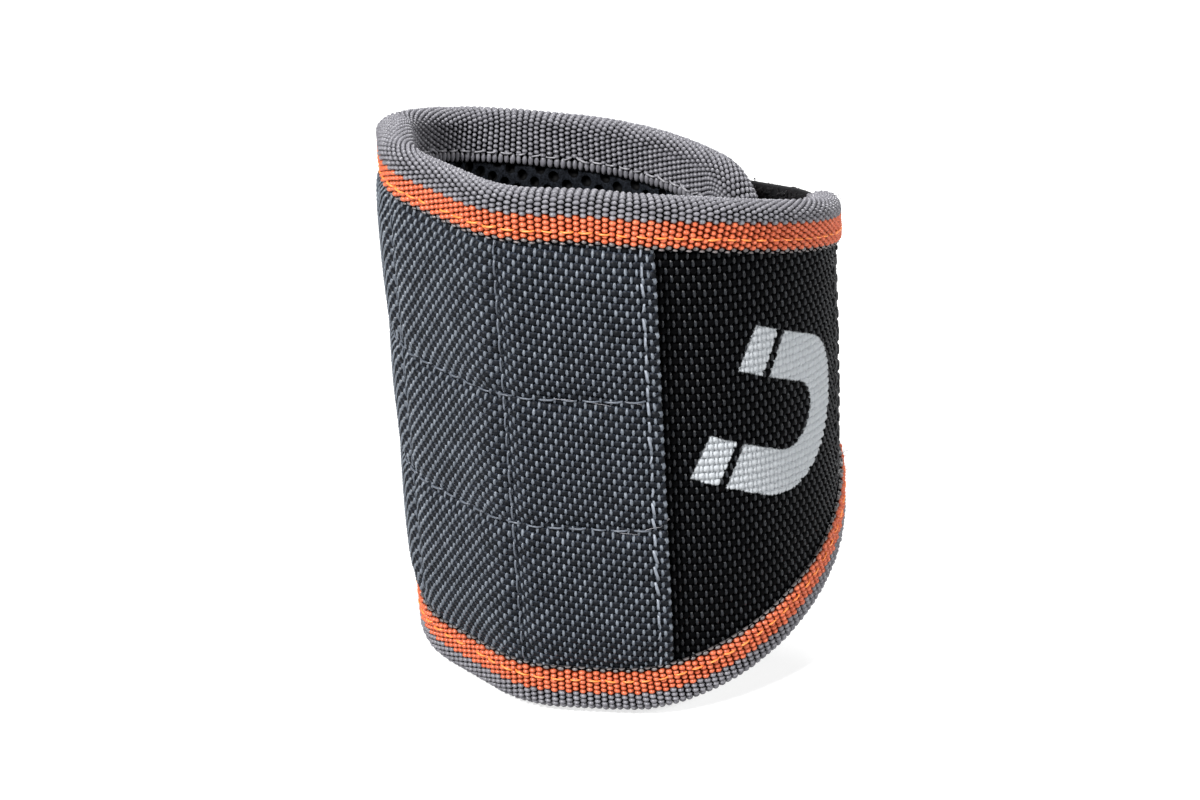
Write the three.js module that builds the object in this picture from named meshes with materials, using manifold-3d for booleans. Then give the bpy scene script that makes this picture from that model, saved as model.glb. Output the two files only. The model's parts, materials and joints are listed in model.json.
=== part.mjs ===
// Magnetic wristband: a padded cloth cuff with magnets sewn into pockets and a hook-and-loop strap.
// Units are millimetres, +Z is up along the forearm, -Y is the front, and the origin is the middle
// of the wrist opening. The cloth layers follow one plan path, the outer face of the base cloth.
import * as THREE from "three";
import { mergeVertices } from "three/addons/utils/BufferGeometryUtils.js";
import Module from "manifold-3d";

const wasm = await Module();
wasm.setup();

// Magnets and the pockets that hold them
const magnetWidth = 18;
const magnetHeight = 16;
const magnetThickness = 1.5;
const magnetCornerRadius = 1.5;
const magnetEdgeBevel = 0.3;
const pocketClearance = 0.3;
const pocketFaceThickness = 0.6;
const pocketSideThickness = 0.9;
const pocketBevel = 1.2;
const pocketCornerRadius = 2.5;
const padSink = 0.05;
const blockCornerSteps = 3;
const minCornerRadius = 0.4;
const pocketColumns = 3;
const pocketRows = 3;
const columnSeamWidth = 1.2;
const rowSeamWidth = 2.2;

// Cloth layers, from the outside in
const layerGap = 0.2;
const panelThickness = 1;
const shellThickness = 1;
const panelBackingThickness = 0.7;
const foamThickness = 2;
const liningThickness = 0.8;

// Binding tape folded over the edges
const tapeThickness = 0.8;
const tapeOuterDrop = 8.2;
const tapeInnerDrop = 9.5;
const rimRise = 2.8;
const rimArcSteps = 6;
const edgeTuck = 0.35;

// Plan path: flat stretches behind the magnets with soft bends at the seams, then the two ends
const panelFacing = -44;
const columnTurn = 37.4;
const seamBendLength = 12;
const wingRadius = 35;
const wingTurn = 88;
const heelRadius = 20.5;
const heelTurn = 90;
const tailRadius = 49;
const tailTurn = 60;
const stationStep = 3;

// Edge taper: the cuff is tallest at the magnets and narrows along both ends
const edgeMargin = 4.6;
const wingTaperLead = 11.8;
const wingTaperLength = 90;
const wingTaperDrop = 22.3;
const tailTaperLead = 26;
const tailTaperLength = 62;
const tailTaperDrop = 11.6;
const tailCornerRadius = 14;
const cornerSteps = 6;

// Fold lines between the stiff magnet section and its two ends
const foldGap = 0.3;

// Closing strap and the loop patch that it grips
const strapWidth = 50;
const strapThickness = 1.2;
const strapBendRadius = 8;
const strapHeelWrap = 28;
const strapTipRadius = 8;
const strapAnchorLength = 14;
const hookThickness = 0.8;
const hookLength = 34;
const hookSideMargin = 2;
const loopThickness = 0.8;
const loopWidth = 49;
const loopHeelWrap = 50;
const loopTailMargin = 14;
const gripGap = 0.3;

const cloth = (color, roughness) => new THREE.MeshStandardMaterial({ color, roughness, metalness: 0 });
const panelCloth = cloth(0x42454d, 0.85);
const shellCloth = cloth(0x17181b, 0.85);
const liningMesh = cloth(0x101012, 0.95);
const foam = cloth(0x2c2d30, 1);
const bindingTape = cloth(0x77777b, 0.8);
const strapWeb = cloth(0x141416, 0.95);
const hookFilm = cloth(0x1d1d20, 0.7);
const loopPile = cloth(0x121214, 1);
const nickel = new THREE.MeshStandardMaterial({ color: 0xb9bcc0, roughness: 0.3, metalness: 1 });

// Sizes that follow from the ones above
const padGrowth = 2 * (pocketClearance + pocketSideThickness + pocketBevel);
const padWidth = magnetWidth + padGrowth;
const padHeight = magnetHeight + padGrowth;
const recessDepth = magnetThickness + 2 * pocketClearance;
const columnPitch = padWidth + columnSeamWidth;
const rowPitch = padHeight + rowSeamWidth;
const panelHalf = (pocketColumns * columnPitch) / 2;
const outerPocketEdge = ((pocketRows - 1) * rowPitch + padHeight) / 2;
const peakHalfHeight = outerPocketEdge + tapeOuterDrop + edgeMargin;
const wingLength = arcLength(wingRadius, wingTurn);
const heelLength = arcLength(heelRadius, heelTurn);
const tailLength = arcLength(tailRadius, tailTurn);
const wingEnd = panelHalf + wingLength;
const heelEnd = -panelHalf - heelLength;
const tailEnd = heelEnd - tailLength;

// Depths of the layers below the outer face of the base cloth, which is depth 0
const foamTop = -shellThickness - layerGap;
const foamBottom = foamTop - foamThickness;
const liningTop = foamBottom - layerGap;
const liningBottom = liningTop - liningThickness;
const backingTop = -panelThickness - layerGap;
const backingBottom = backingTop - panelBackingThickness;
const tapeOuterFace = layerGap + tapeThickness;
const tapeInnerFace = liningBottom - layerGap - tapeThickness;
const rimCentre = (tapeOuterFace + tapeInnerFace) / 2;
const rimHalf = (tapeOuterFace - tapeInnerFace) / 2;
const layerInset = rimRise + edgeTuck - tapeThickness;

function arcLength(radius, turnDegrees) {
  return radius * THREE.MathUtils.degToRad(turnDegrees);
}

// A plan path of straight and round stretches. At distance s it gives the point and the facing,
// the angle of the outward normal from the front, turning towards +X.
function planPath(startDistance, start, facingDegrees, stretches) {
  const facing = THREE.MathUtils.degToRad(facingDegrees);
  const knots = [{ s: startDistance, x: start.x, y: start.y, facing }];
  for (const { length, turn } of stretches) {
    const last = knots.at(-1);
    last.bend = THREE.MathUtils.degToRad(turn) / length;
    knots.push({ ...along(last, length), s: last.s + length });
  }
  knots.at(-1).bend = 0;
  const knotAt = (s) => knots.findLast((knot) => knot.s <= s) ?? knots[0];
  return {
    knots,
    // The plan point at distance s, moved out by depth along the normal.
    point(s, depth = 0) {
      const knot = knotAt(s);
      const { x, y, facing } = along(knot, s - knot.s);
      return new THREE.Vector2(x + Math.sin(facing) * depth, y - Math.cos(facing) * depth);
    },
    facing(s) {
      const knot = knotAt(s);
      return knot.facing + knot.bend * (s - knot.s);
    },
    // Distances from first to last with a station at each knot and about one every stationStep.
    stations(first, last) {
      const snap = stationStep / 100;
      const inside = knots.map((knot) => knot.s).filter((s) => s > first + snap && s < last - snap);
      const marks = [first, ...inside, last];
      const list = [first];
      for (let i = 1; i < marks.length; i++) {
        const count = Math.ceil((marks[i] - marks[i - 1]) / stationStep);
        for (let k = 1; k <= count; k++) list.push(THREE.MathUtils.lerp(marks[i - 1], marks[i], k / count));
      }
      return list;
    },
  };
}

// The point and facing a distance along a stretch of even bend.
function along({ x, y, facing, bend }, distance) {
  if (bend === 0)
    return { x: x + Math.cos(facing) * distance, y: y + Math.sin(facing) * distance, facing };
  const turned = facing + bend * distance;
  return {
    x: x + (Math.sin(turned) - Math.sin(facing)) / bend,
    y: y - (Math.cos(turned) - Math.cos(facing)) / bend,
    facing: turned,
  };
}

function bandStretches() {
  const flat = { length: columnPitch - seamBendLength, turn: 0 };
  const seamBend = { length: seamBendLength, turn: columnTurn };
  const edgeBend = { length: seamBendLength / 2, turn: columnTurn / 2 };
  const columns = [];
  for (let i = 0; i < pocketColumns; i++) columns.push(...(i ? [seamBend, flat] : [flat]));
  return [
    { length: tailLength, turn: tailTurn },
    { length: heelLength, turn: heelTurn },
    edgeBend,
    ...columns,
    edgeBend,
    { length: wingLength, turn: wingTurn },
  ];
}

// The band's path, shifted so that the middle of the wrist opening is the origin.
function bandPath() {
  const tailFacing = panelFacing - (pocketColumns * columnTurn) / 2 - heelTurn - tailTurn;
  const draft = planPath(tailEnd, new THREE.Vector2(), tailFacing, bandStretches());
  const opening = new THREE.Box2();
  for (const s of draft.stations(heelEnd, wingEnd)) opening.expandByPoint(draft.point(s, liningBottom));
  const start = opening.getCenter(new THREE.Vector2()).negate();
  return planPath(tailEnd, start, tailFacing, bandStretches());
}

const band = bandPath();

// Half the cuff's height at distance s: level at the magnets, with a smooth fall along each end.
function halfHeight(s) {
  const fall = (distance, length, drop) => {
    const share = THREE.MathUtils.clamp(distance / length, 0, 1);
    return (drop * (1 - Math.cos(Math.PI * share))) / 2;
  };
  const wingFall = fall(s - (panelHalf - wingTaperLead), wingTaperLength, wingTaperDrop);
  const tailFall = fall(-s - (panelHalf - tailTaperLead), tailTaperLength, tailTaperDrop);
  return peakHalfHeight - wingFall - tailFall;
}

// Half the height of a layer that is tucked into the binding, with the tail's round corners.
function layerHalfHeight(s) {
  const radius = tailCornerRadius - layerInset;
  const fromEnd = s - (tailEnd + layerInset);
  const short = Math.max(radius - fromEnd, 0);
  const rounding = radius - Math.sqrt(Math.max(radius * radius - short * short, 0));
  return halfHeight(s) - layerInset - rounding;
}

// Stations of the tail's layers, closer together round the corners.
function tailLayerStations(last) {
  const radius = tailCornerRadius - layerInset;
  const end = tailEnd + layerInset;
  const corner = [];
  for (let i = 0; i < cornerSteps; i++)
    corner.push(end + radius * (1 - Math.cos((i / cornerSteps) * (Math.PI / 2))));
  return [...corner, ...band.stations(end + radius, last)];
}

// A closed geometry from rings of equal point count, with its two end rings filled.
function loft(rings, profile) {
  const count = rings[0].length;
  const index = [];
  for (let i = 0; i + 1 < rings.length; i++)
    for (let k = 0; k < count; k++) {
      const a = i * count + k;
      const b = i * count + ((k + 1) % count);
      index.push(a, b, a + count, b, b + count, a + count);
    }
  const last = (rings.length - 1) * count;
  const clockwise = THREE.ShapeUtils.isClockWise(profile);
  for (const triangle of THREE.ShapeUtils.triangulateShape(profile, [])) {
    const [a, b, c] = clockwise ? triangle.reverse() : triangle;
    index.push(a, c, b);
    index.push(last + a, last + b, last + c);
  }
  const geometry = new THREE.BufferGeometry().setFromPoints(rings.flat()).setIndex(index);
  return facingOut(geometry);
}

// Turns the triangles round if the closed geometry is inside out.
function facingOut(geometry) {
  const points = geometry.getAttribute("position");
  const index = geometry.getIndex();
  const corner = [new THREE.Vector3(), new THREE.Vector3(), new THREE.Vector3()];
  let volume = 0;
  for (let i = 0; i < index.count; i += 3) {
    corner.forEach((point, k) => point.fromBufferAttribute(points, index.getX(i + k)));
    volume += corner[0].dot(corner[1].cross(corner[2]));
  }
  if (volume < 0) index.array.reverse();
  return geometry;
}

// A slab of cloth between two depths of a path, as high as heightAt says at each station.
function slab(path, stations, inner, outer, heightAt) {
  const rings = stations.map((s) => {
    const half = heightAt(s);
    const out = path.point(s, outer);
    const inside = path.point(s, inner);
    return [
      new THREE.Vector3(out.x, out.y, -half),
      new THREE.Vector3(out.x, out.y, half),
      new THREE.Vector3(inside.x, inside.y, half),
      new THREE.Vector3(inside.x, inside.y, -half),
    ];
  });
  const half = heightAt(stations[0]);
  const profile = [
    [outer, -half],
    [outer, half],
    [inner, half],
    [inner, -half],
  ].map(([x, y]) => new THREE.Vector2(x, y));
  return loft(rings, profile);
}

// The folded tape's section: x is depth and y is the distance below the rim.
function tapeProfile() {
  const arc = (radius, rise) => {
    const points = [];
    for (let i = 0; i <= rimArcSteps; i++) {
      const angle = (Math.PI * i) / rimArcSteps;
      const depth = rimCentre + radius * Math.cos(angle);
      points.push(new THREE.Vector2(depth, rimRise - rise * Math.sin(angle)));
    }
    return points;
  };
  return [
    new THREE.Vector2(tapeOuterFace, tapeOuterDrop),
    ...arc(rimHalf, rimRise),
    new THREE.Vector2(tapeInnerFace, tapeInnerDrop),
    new THREE.Vector2(tapeInnerFace + tapeThickness, tapeInnerDrop),
    ...arc(rimHalf - tapeThickness, rimRise - tapeThickness).reverse(),
    new THREE.Vector2(tapeOuterFace - tapeThickness, tapeOuterDrop),
  ];
}

// A tape swept along an edge. Each edge point holds its distance along the band, its height and
// the direction, in the flat cloth, that runs from the rim into the cloth.
function tape(edge) {
  const profile = tapeProfile();
  const rings = edge.map(({ s, z, inS, inZ }) =>
    profile.map(({ x: depth, y: drop }) => {
      const point = band.point(s + inS * drop, depth);
      return new THREE.Vector3(point.x, point.y, z + inZ * drop);
    }),
  );
  return loft(rings, profile);
}

// The upper edge, or the lower one with side -1. The tape leans with the edge, so its drop is
// lengthened to keep its width across the slope.
function levelEdge(stations, side) {
  return stations.map((s) => {
    const slope = (halfHeight(s + stationStep) - halfHeight(s)) / stationStep;
    return { s, z: side * halfHeight(s), inS: 0, inZ: -side * Math.hypot(1, slope) };
  });
}

// The edge round the tail's end: along the top, round both corners and back along the bottom.
function tailEdge(fold) {
  const stations = band.stations(tailEnd + tailCornerRadius, fold).reverse();
  const cornerHeight = halfHeight(tailEnd) - tailCornerRadius;
  const upper = [];
  for (let i = 1; i <= 2 * cornerSteps; i++) {
    const angle = (Math.PI / 2) * (1 - i / (2 * cornerSteps));
    upper.push({
      s: tailEnd + tailCornerRadius * (1 - Math.cos(angle)),
      z: cornerHeight + tailCornerRadius * Math.sin(angle),
      inS: Math.cos(angle),
      inZ: -Math.sin(angle),
    });
  }
  const lower = upper.map((point) => ({ ...point, z: -point.z, inZ: -point.inZ })).reverse();
  return [...levelEdge(stations, 1), ...upper, ...lower, ...levelEdge(stations, -1).reverse()];
}

// The strap's path, the outer face of its web: out of the wing's end, round a tight bend, straight
// across to the far end and then round the outside of the loop patch.
function strapPath() {
  const stack = layerGap + loopThickness + gripGap + hookThickness + layerGap + strapThickness;
  const facing = band.facing(wingEnd);
  const start = band.point(wingEnd, foamTop);
  start.add(new THREE.Vector2(Math.cos(facing), Math.sin(facing)).multiplyScalar(foldGap / 2));
  const inward = new THREE.Vector2(-Math.sin(facing), Math.cos(facing));
  const bendCentre = start.clone().addScaledVector(inward, strapBendRadius);
  const tangentTo = (radius) => {
    const reach = band.point(heelEnd, -radius).sub(bendCentre);
    const lean = Math.asin((strapBendRadius - radius - stack) / reach.length());
    return { facing: reach.angle() + lean, length: reach.length() * Math.cos(lean) };
  };
  const heelFacing = band.facing(heelEnd) + 2 * Math.PI;
  let straight = tangentTo(tailRadius);
  if (straight.facing > heelFacing) straight = tangentTo(heelRadius);
  const round = (radius, turn) => ({ length: radius * turn, turn: THREE.MathUtils.radToDeg(turn) });
  const stretches = [
    round(strapBendRadius, straight.facing - facing),
    { length: straight.length, turn: 0 },
  ];
  const tailContact = heelFacing - straight.facing;
  if (tailContact > 0) stretches.push(round(tailRadius + stack, tailContact));
  const heelContact = THREE.MathUtils.degToRad(strapHeelWrap) + Math.min(tailContact, 0);
  stretches.push(round(heelRadius + stack, heelContact));
  return planPath(0, start, THREE.MathUtils.radToDeg(facing), stretches);
}

const strap = strapPath();
const strapLength = strap.knots.at(-1).s;

// Half the strap's width, with round corners at its tip. The margin is for what lies inside it.
function strapHalfWidth(s, margin = 0) {
  const radius = strapTipRadius - margin;
  const short = Math.max(radius - (strapLength - margin - s), 0);
  return strapWidth / 2 - margin - radius + Math.sqrt(Math.max(radius * radius - short * short, 0));
}

function strapStations(first, margin = 0) {
  const radius = strapTipRadius - margin;
  const end = strapLength - margin;
  const list = strap.stations(first, end - radius);
  for (let i = 1; i <= cornerSteps; i++)
    list.push(end - radius * (1 - Math.sin((i / cornerSteps) * (Math.PI / 2))));
  return list;
}

// A flat block with round corners, standing on the plane z = 0. Each level gives a height and how
// far the outline is drawn in there.
function block(width, height, cornerRadius, levels) {
  const outline = (inset) => {
    const radius = Math.max(cornerRadius - inset, minCornerRadius);
    const points = [];
    for (let quarter = 0; quarter < 4; quarter++) {
      const signX = quarter === 0 || quarter === 3 ? 1 : -1;
      const signY = quarter < 2 ? 1 : -1;
      for (let i = 0; i <= blockCornerSteps; i++) {
        const angle = (Math.PI / 2) * (quarter + i / blockCornerSteps);
        const x = signX * (width / 2 - inset - radius) + radius * Math.cos(angle);
        const y = signY * (height / 2 - inset - radius) + radius * Math.sin(angle);
        points.push(new THREE.Vector2(x, y));
      }
    }
    return points;
  };
  const raised = (points, z) => points.map(({ x, y }) => new THREE.Vector3(x, y, z));
  const rings = levels.map(([z, inset]) => raised(outline(inset), z));
  return loft(rings, outline(0));
}

// Places a block so that its z = 0 plane lies at a depth below the middle of a pocket.
function atPocket(column, row, depth) {
  const s = (column - (pocketColumns - 1) / 2) * columnPitch;
  const z = (row - (pocketRows - 1) / 2) * rowPitch;
  const facing = band.facing(s);
  const point = band.point(s, depth);
  const basis = new THREE.Matrix4().makeBasis(
    new THREE.Vector3(Math.cos(facing), Math.sin(facing), 0),
    new THREE.Vector3(0, 0, 1),
    new THREE.Vector3(Math.sin(facing), -Math.cos(facing), 0),
  );
  return basis.setPosition(point.x, point.y, z);
}

function solid(geometry) {
  const bare = geometry.clone();
  bare.deleteAttribute("normal");
  bare.deleteAttribute("uv");
  const merged = mergeVertices(bare);
  const vertProperties = new Float32Array(merged.getAttribute("position").array);
  const triVerts = new Uint32Array(merged.getIndex().array);
  return new wasm.Manifold(new wasm.Mesh({ numProp: 3, vertProperties, triVerts }));
}

function geometryOf(manifold) {
  const { vertProperties, triVerts } = manifold.getMesh();
  return new THREE.BufferGeometry()
    .setAttribute("position", new THREE.BufferAttribute(new Float32Array(vertProperties), 3))
    .setIndex(new THREE.BufferAttribute(new Uint32Array(triVerts), 1));
}

function eachPocket(visit) {
  for (let row = 0; row < pocketRows; row++)
    for (let column = 0; column < pocketColumns; column++) visit(column, row);
}

// The cloth cover of the magnets: a raised pocket for each, open at the back for its magnet.
function magnetPanel() {
  const recessTop = panelThickness + recessDepth;
  const foot = panelThickness - padSink;
  const padTop = foot + recessDepth - panelThickness + pocketFaceThickness;
  const pad = block(padWidth, padHeight, pocketCornerRadius, [
    [0, 0],
    [padTop - pocketBevel, 0],
    [padTop, pocketBevel],
  ]);
  const recess = block(
    magnetWidth + 2 * pocketClearance,
    magnetHeight + 2 * pocketClearance,
    magnetCornerRadius + pocketClearance,
    [
      [0, 0],
      [recessTop, 0],
    ],
  );
  let cover = solid(panelSlab(-panelThickness, 0));
  eachPocket((column, row) => {
    const placedPad = pad.clone().applyMatrix4(atPocket(column, row, -foot));
    const placedRecess = recess.clone().applyMatrix4(atPocket(column, row, -2 * panelThickness));
    cover = cover.add(solid(placedPad)).subtract(solid(placedRecess));
  });
  return geometryOf(cover);
}

const cuff = new THREE.Group();

function add(name, geometry, material) {
  const mesh = new THREE.Mesh(geometry, material);
  mesh.name = name;
  cuff.add(mesh);
}

// Magnet section
const panelStations = band.stations(-panelHalf + foldGap / 2, panelHalf - foldGap / 2);
const panelSlab = (inner, outer) => slab(band, panelStations, inner, outer, layerHalfHeight);
add("magnet_panel", magnetPanel(), panelCloth);
eachPocket((column, row) => {
  const magnet = block(magnetWidth, magnetHeight, magnetCornerRadius, [
    [0, magnetEdgeBevel],
    [magnetEdgeBevel, 0],
    [magnetThickness - magnetEdgeBevel, 0],
    [magnetThickness, magnetEdgeBevel],
  ]);
  const seat = -panelThickness + pocketClearance;
  add(`magnet_row${row + 1}_column${column + 1}`, magnet.applyMatrix4(atPocket(column, row, seat)), nickel);
});
add("panel_backing", panelSlab(backingBottom, backingTop), shellCloth);
add("panel_foam", panelSlab(foamBottom, backingBottom - layerGap), foam);
add("panel_lining", panelSlab(liningBottom, liningTop), liningMesh);
add("panel_binding_top", tape(levelEdge(panelStations, 1)), bindingTape);
add("panel_binding_bottom", tape(levelEdge(panelStations, -1)), bindingTape);

// Wing, the end that carries the strap
const wingStart = panelHalf + foldGap / 2;
const wingStations = band.stations(wingStart, wingEnd);
const anchorStart = wingEnd - strapAnchorLength;
const anchorStations = band.stations(anchorStart, wingEnd);
const wingFoamStations = band.stations(wingStart, anchorStart - foldGap);
const strapHalf = () => strapWidth / 2;
add("wing_shell", slab(band, wingStations, -shellThickness, 0, layerHalfHeight), shellCloth);
add("wing_foam", slab(band, wingFoamStations, foamBottom, foamTop, layerHalfHeight), foam);
add("wing_lining", slab(band, wingStations, liningBottom, liningTop, layerHalfHeight), liningMesh);
add("wing_binding_top", tape(levelEdge(wingStations, 1)), bindingTape);
add("wing_binding_bottom", tape(levelEdge(wingStations, -1)), bindingTape);
add("strap_anchor", slab(band, anchorStations, foamTop - strapThickness, foamTop, strapHalf), strapWeb);

// Tail, the end that tucks inside the wing and carries the loop patch
const tailFold = -panelHalf - foldGap / 2;
const tailStations = tailLayerStations(tailFold);
const tailSlab = (inner, outer) => slab(band, tailStations, inner, outer, layerHalfHeight);
const loopStart = tailEnd + loopTailMargin;
const loopEnd = heelEnd + arcLength(heelRadius, loopHeelWrap);
const loopStations = band.stations(loopStart, loopEnd);
const loopTop = layerGap + loopThickness;
const loopHalf = () => loopWidth / 2;
add("tail_shell", tailSlab(-shellThickness, 0), shellCloth);
add("tail_foam", tailSlab(foamBottom, foamTop), foam);
add("tail_lining", tailSlab(liningBottom, liningTop), liningMesh);
add("tail_binding", tape(tailEdge(tailFold)), bindingTape);
add("loop_patch", slab(band, loopStations, layerGap, loopTop, loopHalf), loopPile);

// Strap
const hookTop = -strapThickness - layerGap;
const hookHalf = (s) => strapHalfWidth(s, hookSideMargin);
const hookStations = strapStations(strapLength - hookLength, hookSideMargin);
add("strap_web", slab(strap, strapStations(0), -strapThickness, 0, strapHalfWidth), strapWeb);
add("hook_pad", slab(strap, hookStations, hookTop - hookThickness, hookTop, hookHalf), hookFilm);

export default cuff;
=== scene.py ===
import json
import math

import bmesh
import bpy
import numpy as np
from mathutils import Matrix, Vector


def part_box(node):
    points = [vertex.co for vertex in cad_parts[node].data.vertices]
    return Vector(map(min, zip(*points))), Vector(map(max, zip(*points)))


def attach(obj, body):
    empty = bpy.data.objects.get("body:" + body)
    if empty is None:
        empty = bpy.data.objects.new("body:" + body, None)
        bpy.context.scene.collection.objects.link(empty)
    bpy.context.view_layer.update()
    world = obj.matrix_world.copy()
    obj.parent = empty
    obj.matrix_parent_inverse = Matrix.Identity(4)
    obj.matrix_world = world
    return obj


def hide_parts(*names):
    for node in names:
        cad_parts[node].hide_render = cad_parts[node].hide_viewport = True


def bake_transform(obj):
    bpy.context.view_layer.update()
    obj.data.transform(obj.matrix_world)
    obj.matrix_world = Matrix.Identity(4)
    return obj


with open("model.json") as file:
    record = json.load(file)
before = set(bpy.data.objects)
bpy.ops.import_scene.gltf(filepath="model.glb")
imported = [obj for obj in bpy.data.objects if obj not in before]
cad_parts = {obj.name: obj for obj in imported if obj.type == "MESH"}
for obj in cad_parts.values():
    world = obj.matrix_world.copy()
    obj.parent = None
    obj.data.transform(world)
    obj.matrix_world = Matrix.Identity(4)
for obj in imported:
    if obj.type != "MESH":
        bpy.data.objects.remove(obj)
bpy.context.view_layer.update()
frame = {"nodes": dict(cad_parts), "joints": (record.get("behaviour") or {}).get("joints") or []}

# Settings are in mm and degrees where no other unit is named
mm = 0.001
hinge = {joint["name"]: Vector(joint["pos_m"]) for joint in frame["joints"]}
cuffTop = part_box("panel_binding_top")[1].z / mm
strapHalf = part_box("strap_web")[1].z / mm
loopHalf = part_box("loop_patch")[1].z / mm
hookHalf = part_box("hook_pad")[1].z / mm
print("frame loaded, cuff half height", round(cuffTop, 1), "mm")


def linear(hexColour):
    # sRGB hex to the linear colour that Blender's sockets take
    share = [int(hexColour[i:i + 2], 16) / 255 for i in (1, 3, 5)]
    return [c / 12.92 if c <= 0.04045 else ((c + 0.055) / 1.055) ** 2.4 for c in share] + [1]


def addNode(tree, kind, inputs=None, **settings):
    # one node with its settings, and a value or a link for each named input
    made = tree.nodes.new(kind)
    for name, value in settings.items():
        setattr(made, name, value)
    for socket, value in (inputs or {}).items():
        if isinstance(value, bpy.types.NodeSocket):
            tree.links.new(value, made.inputs[socket])
        else:
            made.inputs[socket].default_value = value
    return made


def addObject(name, data):
    made = bpy.data.objects.new(name, data)
    bpy.context.scene.collection.objects.link(made)
    return made


def newMesh(name, points, faces, material=None):
    made = bpy.data.meshes.new(name)
    made.from_pydata(points, [], faces)
    made.update()
    if material:
        made.materials.append(material)
    return made


# Camera, floor and light
view = {
    "azimuth": 3.6,         # degrees from straight in front, towards the wing
    "elevation": 28.1,      # degrees above the cuff
    "roll": -2.8,           # degrees
    "distance": 513.4,      # mm
    "target": (4.6, 7.95, 0),
    "lens": 93,
    "nearest": 10,          # mm, where the view begins
    "frameWidth": 1200,     # pixels
    "targetRight": 46.3,    # pixels from the frame's middle
    "targetUp": 51.5,
}


def makeCamera():
    lean, aside = math.radians(view["elevation"]), math.radians(view["azimuth"])
    back = Vector((math.sin(aside) * math.cos(lean), -math.cos(aside) * math.cos(lean), math.sin(lean)))
    camera = addObject("camera", bpy.data.cameras.new("camera"))
    camera.data.lens = view["lens"]
    camera.data.shift_x = -view["targetRight"] / view["frameWidth"]
    camera.data.shift_y = -view["targetUp"] / view["frameWidth"]
    camera.data.clip_start = view["nearest"] * mm
    turn = (-back).to_track_quat("-Z", "Y").to_matrix().to_4x4()
    roll = Matrix.Rotation(math.radians(view["roll"]), 4, "Z")
    place = Matrix.Translation((Vector(view["target"]) + back * view["distance"]) * mm)
    camera.matrix_world = place @ turn @ roll
    bpy.context.scene.camera = camera


studio = {
    "floorColour": "#b4b4b4",
    "floorGlow": 0.72,      # seen by the camera only, as on a light table
    "floorRoughness": 0.9,
    "floorReach": 20,       # metres each way
    "floorDrop": 0.9,       # mm below the lowest solid, where the tape's lower rim stands
    "worldLight": 0.04,
    # name: (place in mm, size in mm, watts)
    "lamps": {
        "key": ((-380, -400, 640), 160, 12),
        "side": ((560, -260, 340), 180, 2.8),
        "front": ((-60, -700, 220), 240, 1.2),
        "rear": ((150, 560, 520), 220, 6),
    },
}


def makeStudio():
    scene = bpy.context.scene
    scene.view_settings.view_transform = "Standard"
    scene.world = bpy.data.worlds.new("studio")
    scene.world.use_nodes = True
    tree = scene.world.node_tree
    path = addNode(tree, "ShaderNodeLightPath")
    strength = addNode(tree, "ShaderNodeMapRange", {"Value": path.outputs["Is Camera Ray"],
                       "To Min": studio["worldLight"], "To Max": 1})
    tree.links.new(strength.outputs["Result"], tree.nodes["Background"].inputs["Strength"])
    tree.nodes["Background"].inputs["Color"].default_value = (1, 1, 1, 1)
    for name, (place, size, power) in studio["lamps"].items():
        lamp = addObject(name, bpy.data.lights.new(name, "AREA"))
        lamp.data.size = size * mm
        lamp.data.energy = power
        lamp.location = Vector(place) * mm
        lamp.rotation_euler = (-lamp.location).to_track_quat("-Z", "Y").to_euler()
    paper = bpy.data.materials.new("matt_paper")
    paper.use_nodes = True
    shader = paper.node_tree.nodes["Principled BSDF"]
    shader.inputs["Base Color"].default_value = linear(studio["floorColour"])
    shader.inputs["Roughness"].default_value = studio["floorRoughness"]
    shader.inputs["Emission Color"].default_value = (1, 1, 1, 1)
    seen = addNode(paper.node_tree, "ShaderNodeLightPath")
    glow = addNode(paper.node_tree, "ShaderNodeMath", {0: seen.outputs["Is Camera Ray"],
                   1: studio["floorGlow"]}, operation="MULTIPLY")
    paper.node_tree.links.new(glow.outputs[0], shader.inputs["Emission Strength"])
    reach = studio["floorReach"]
    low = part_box("panel_binding_bottom")[0].z - studio["floorDrop"] * mm
    corners = [(-reach, -reach, low), (reach, -reach, low), (reach, reach, low), (-reach, reach, low)]
    addObject("floor", newMesh("floor", corners, [(0, 1, 2, 3)], paper))


makeCamera()
makeStudio()
print("camera and studio ready")

# Plan of the band: distance s runs along it in mm, 0 at the middle of the magnet panel, and depth
# runs outwards from the outer face of the base cloth.
bandPlan = {
    "panelFacing": -44, "columnTurn": 37.4, "columnPitch": 24, "columns": 3, "seamBend": 12,
    "wingRadius": 35, "wingTurn": 88, "heelRadius": 20.5, "heelTurn": 90,
    "tailRadius": 49, "tailTurn": 60,
    "foldDepth": 1.2,       # the fold lines lie this far outside the base cloth
}
panelHalf = bandPlan["columnPitch"] * bandPlan["columns"] / 2
wingLength = math.radians(bandPlan["wingTurn"]) * bandPlan["wingRadius"]
heelLength = math.radians(bandPlan["heelTurn"]) * bandPlan["heelRadius"]
tailLength = math.radians(bandPlan["tailTurn"]) * bandPlan["tailRadius"]
wingEnd = panelHalf + wingLength
heelEnd = -panelHalf - heelLength
tailEnd = heelEnd - tailLength

edgeTaper = {
    "wingLead": 11.8, "wingLength": 90, "wingDrop": 22.3,
    "tailLead": 26, "tailLength": 62, "tailDrop": 11.6, "tailCorner": 14,
}


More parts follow.
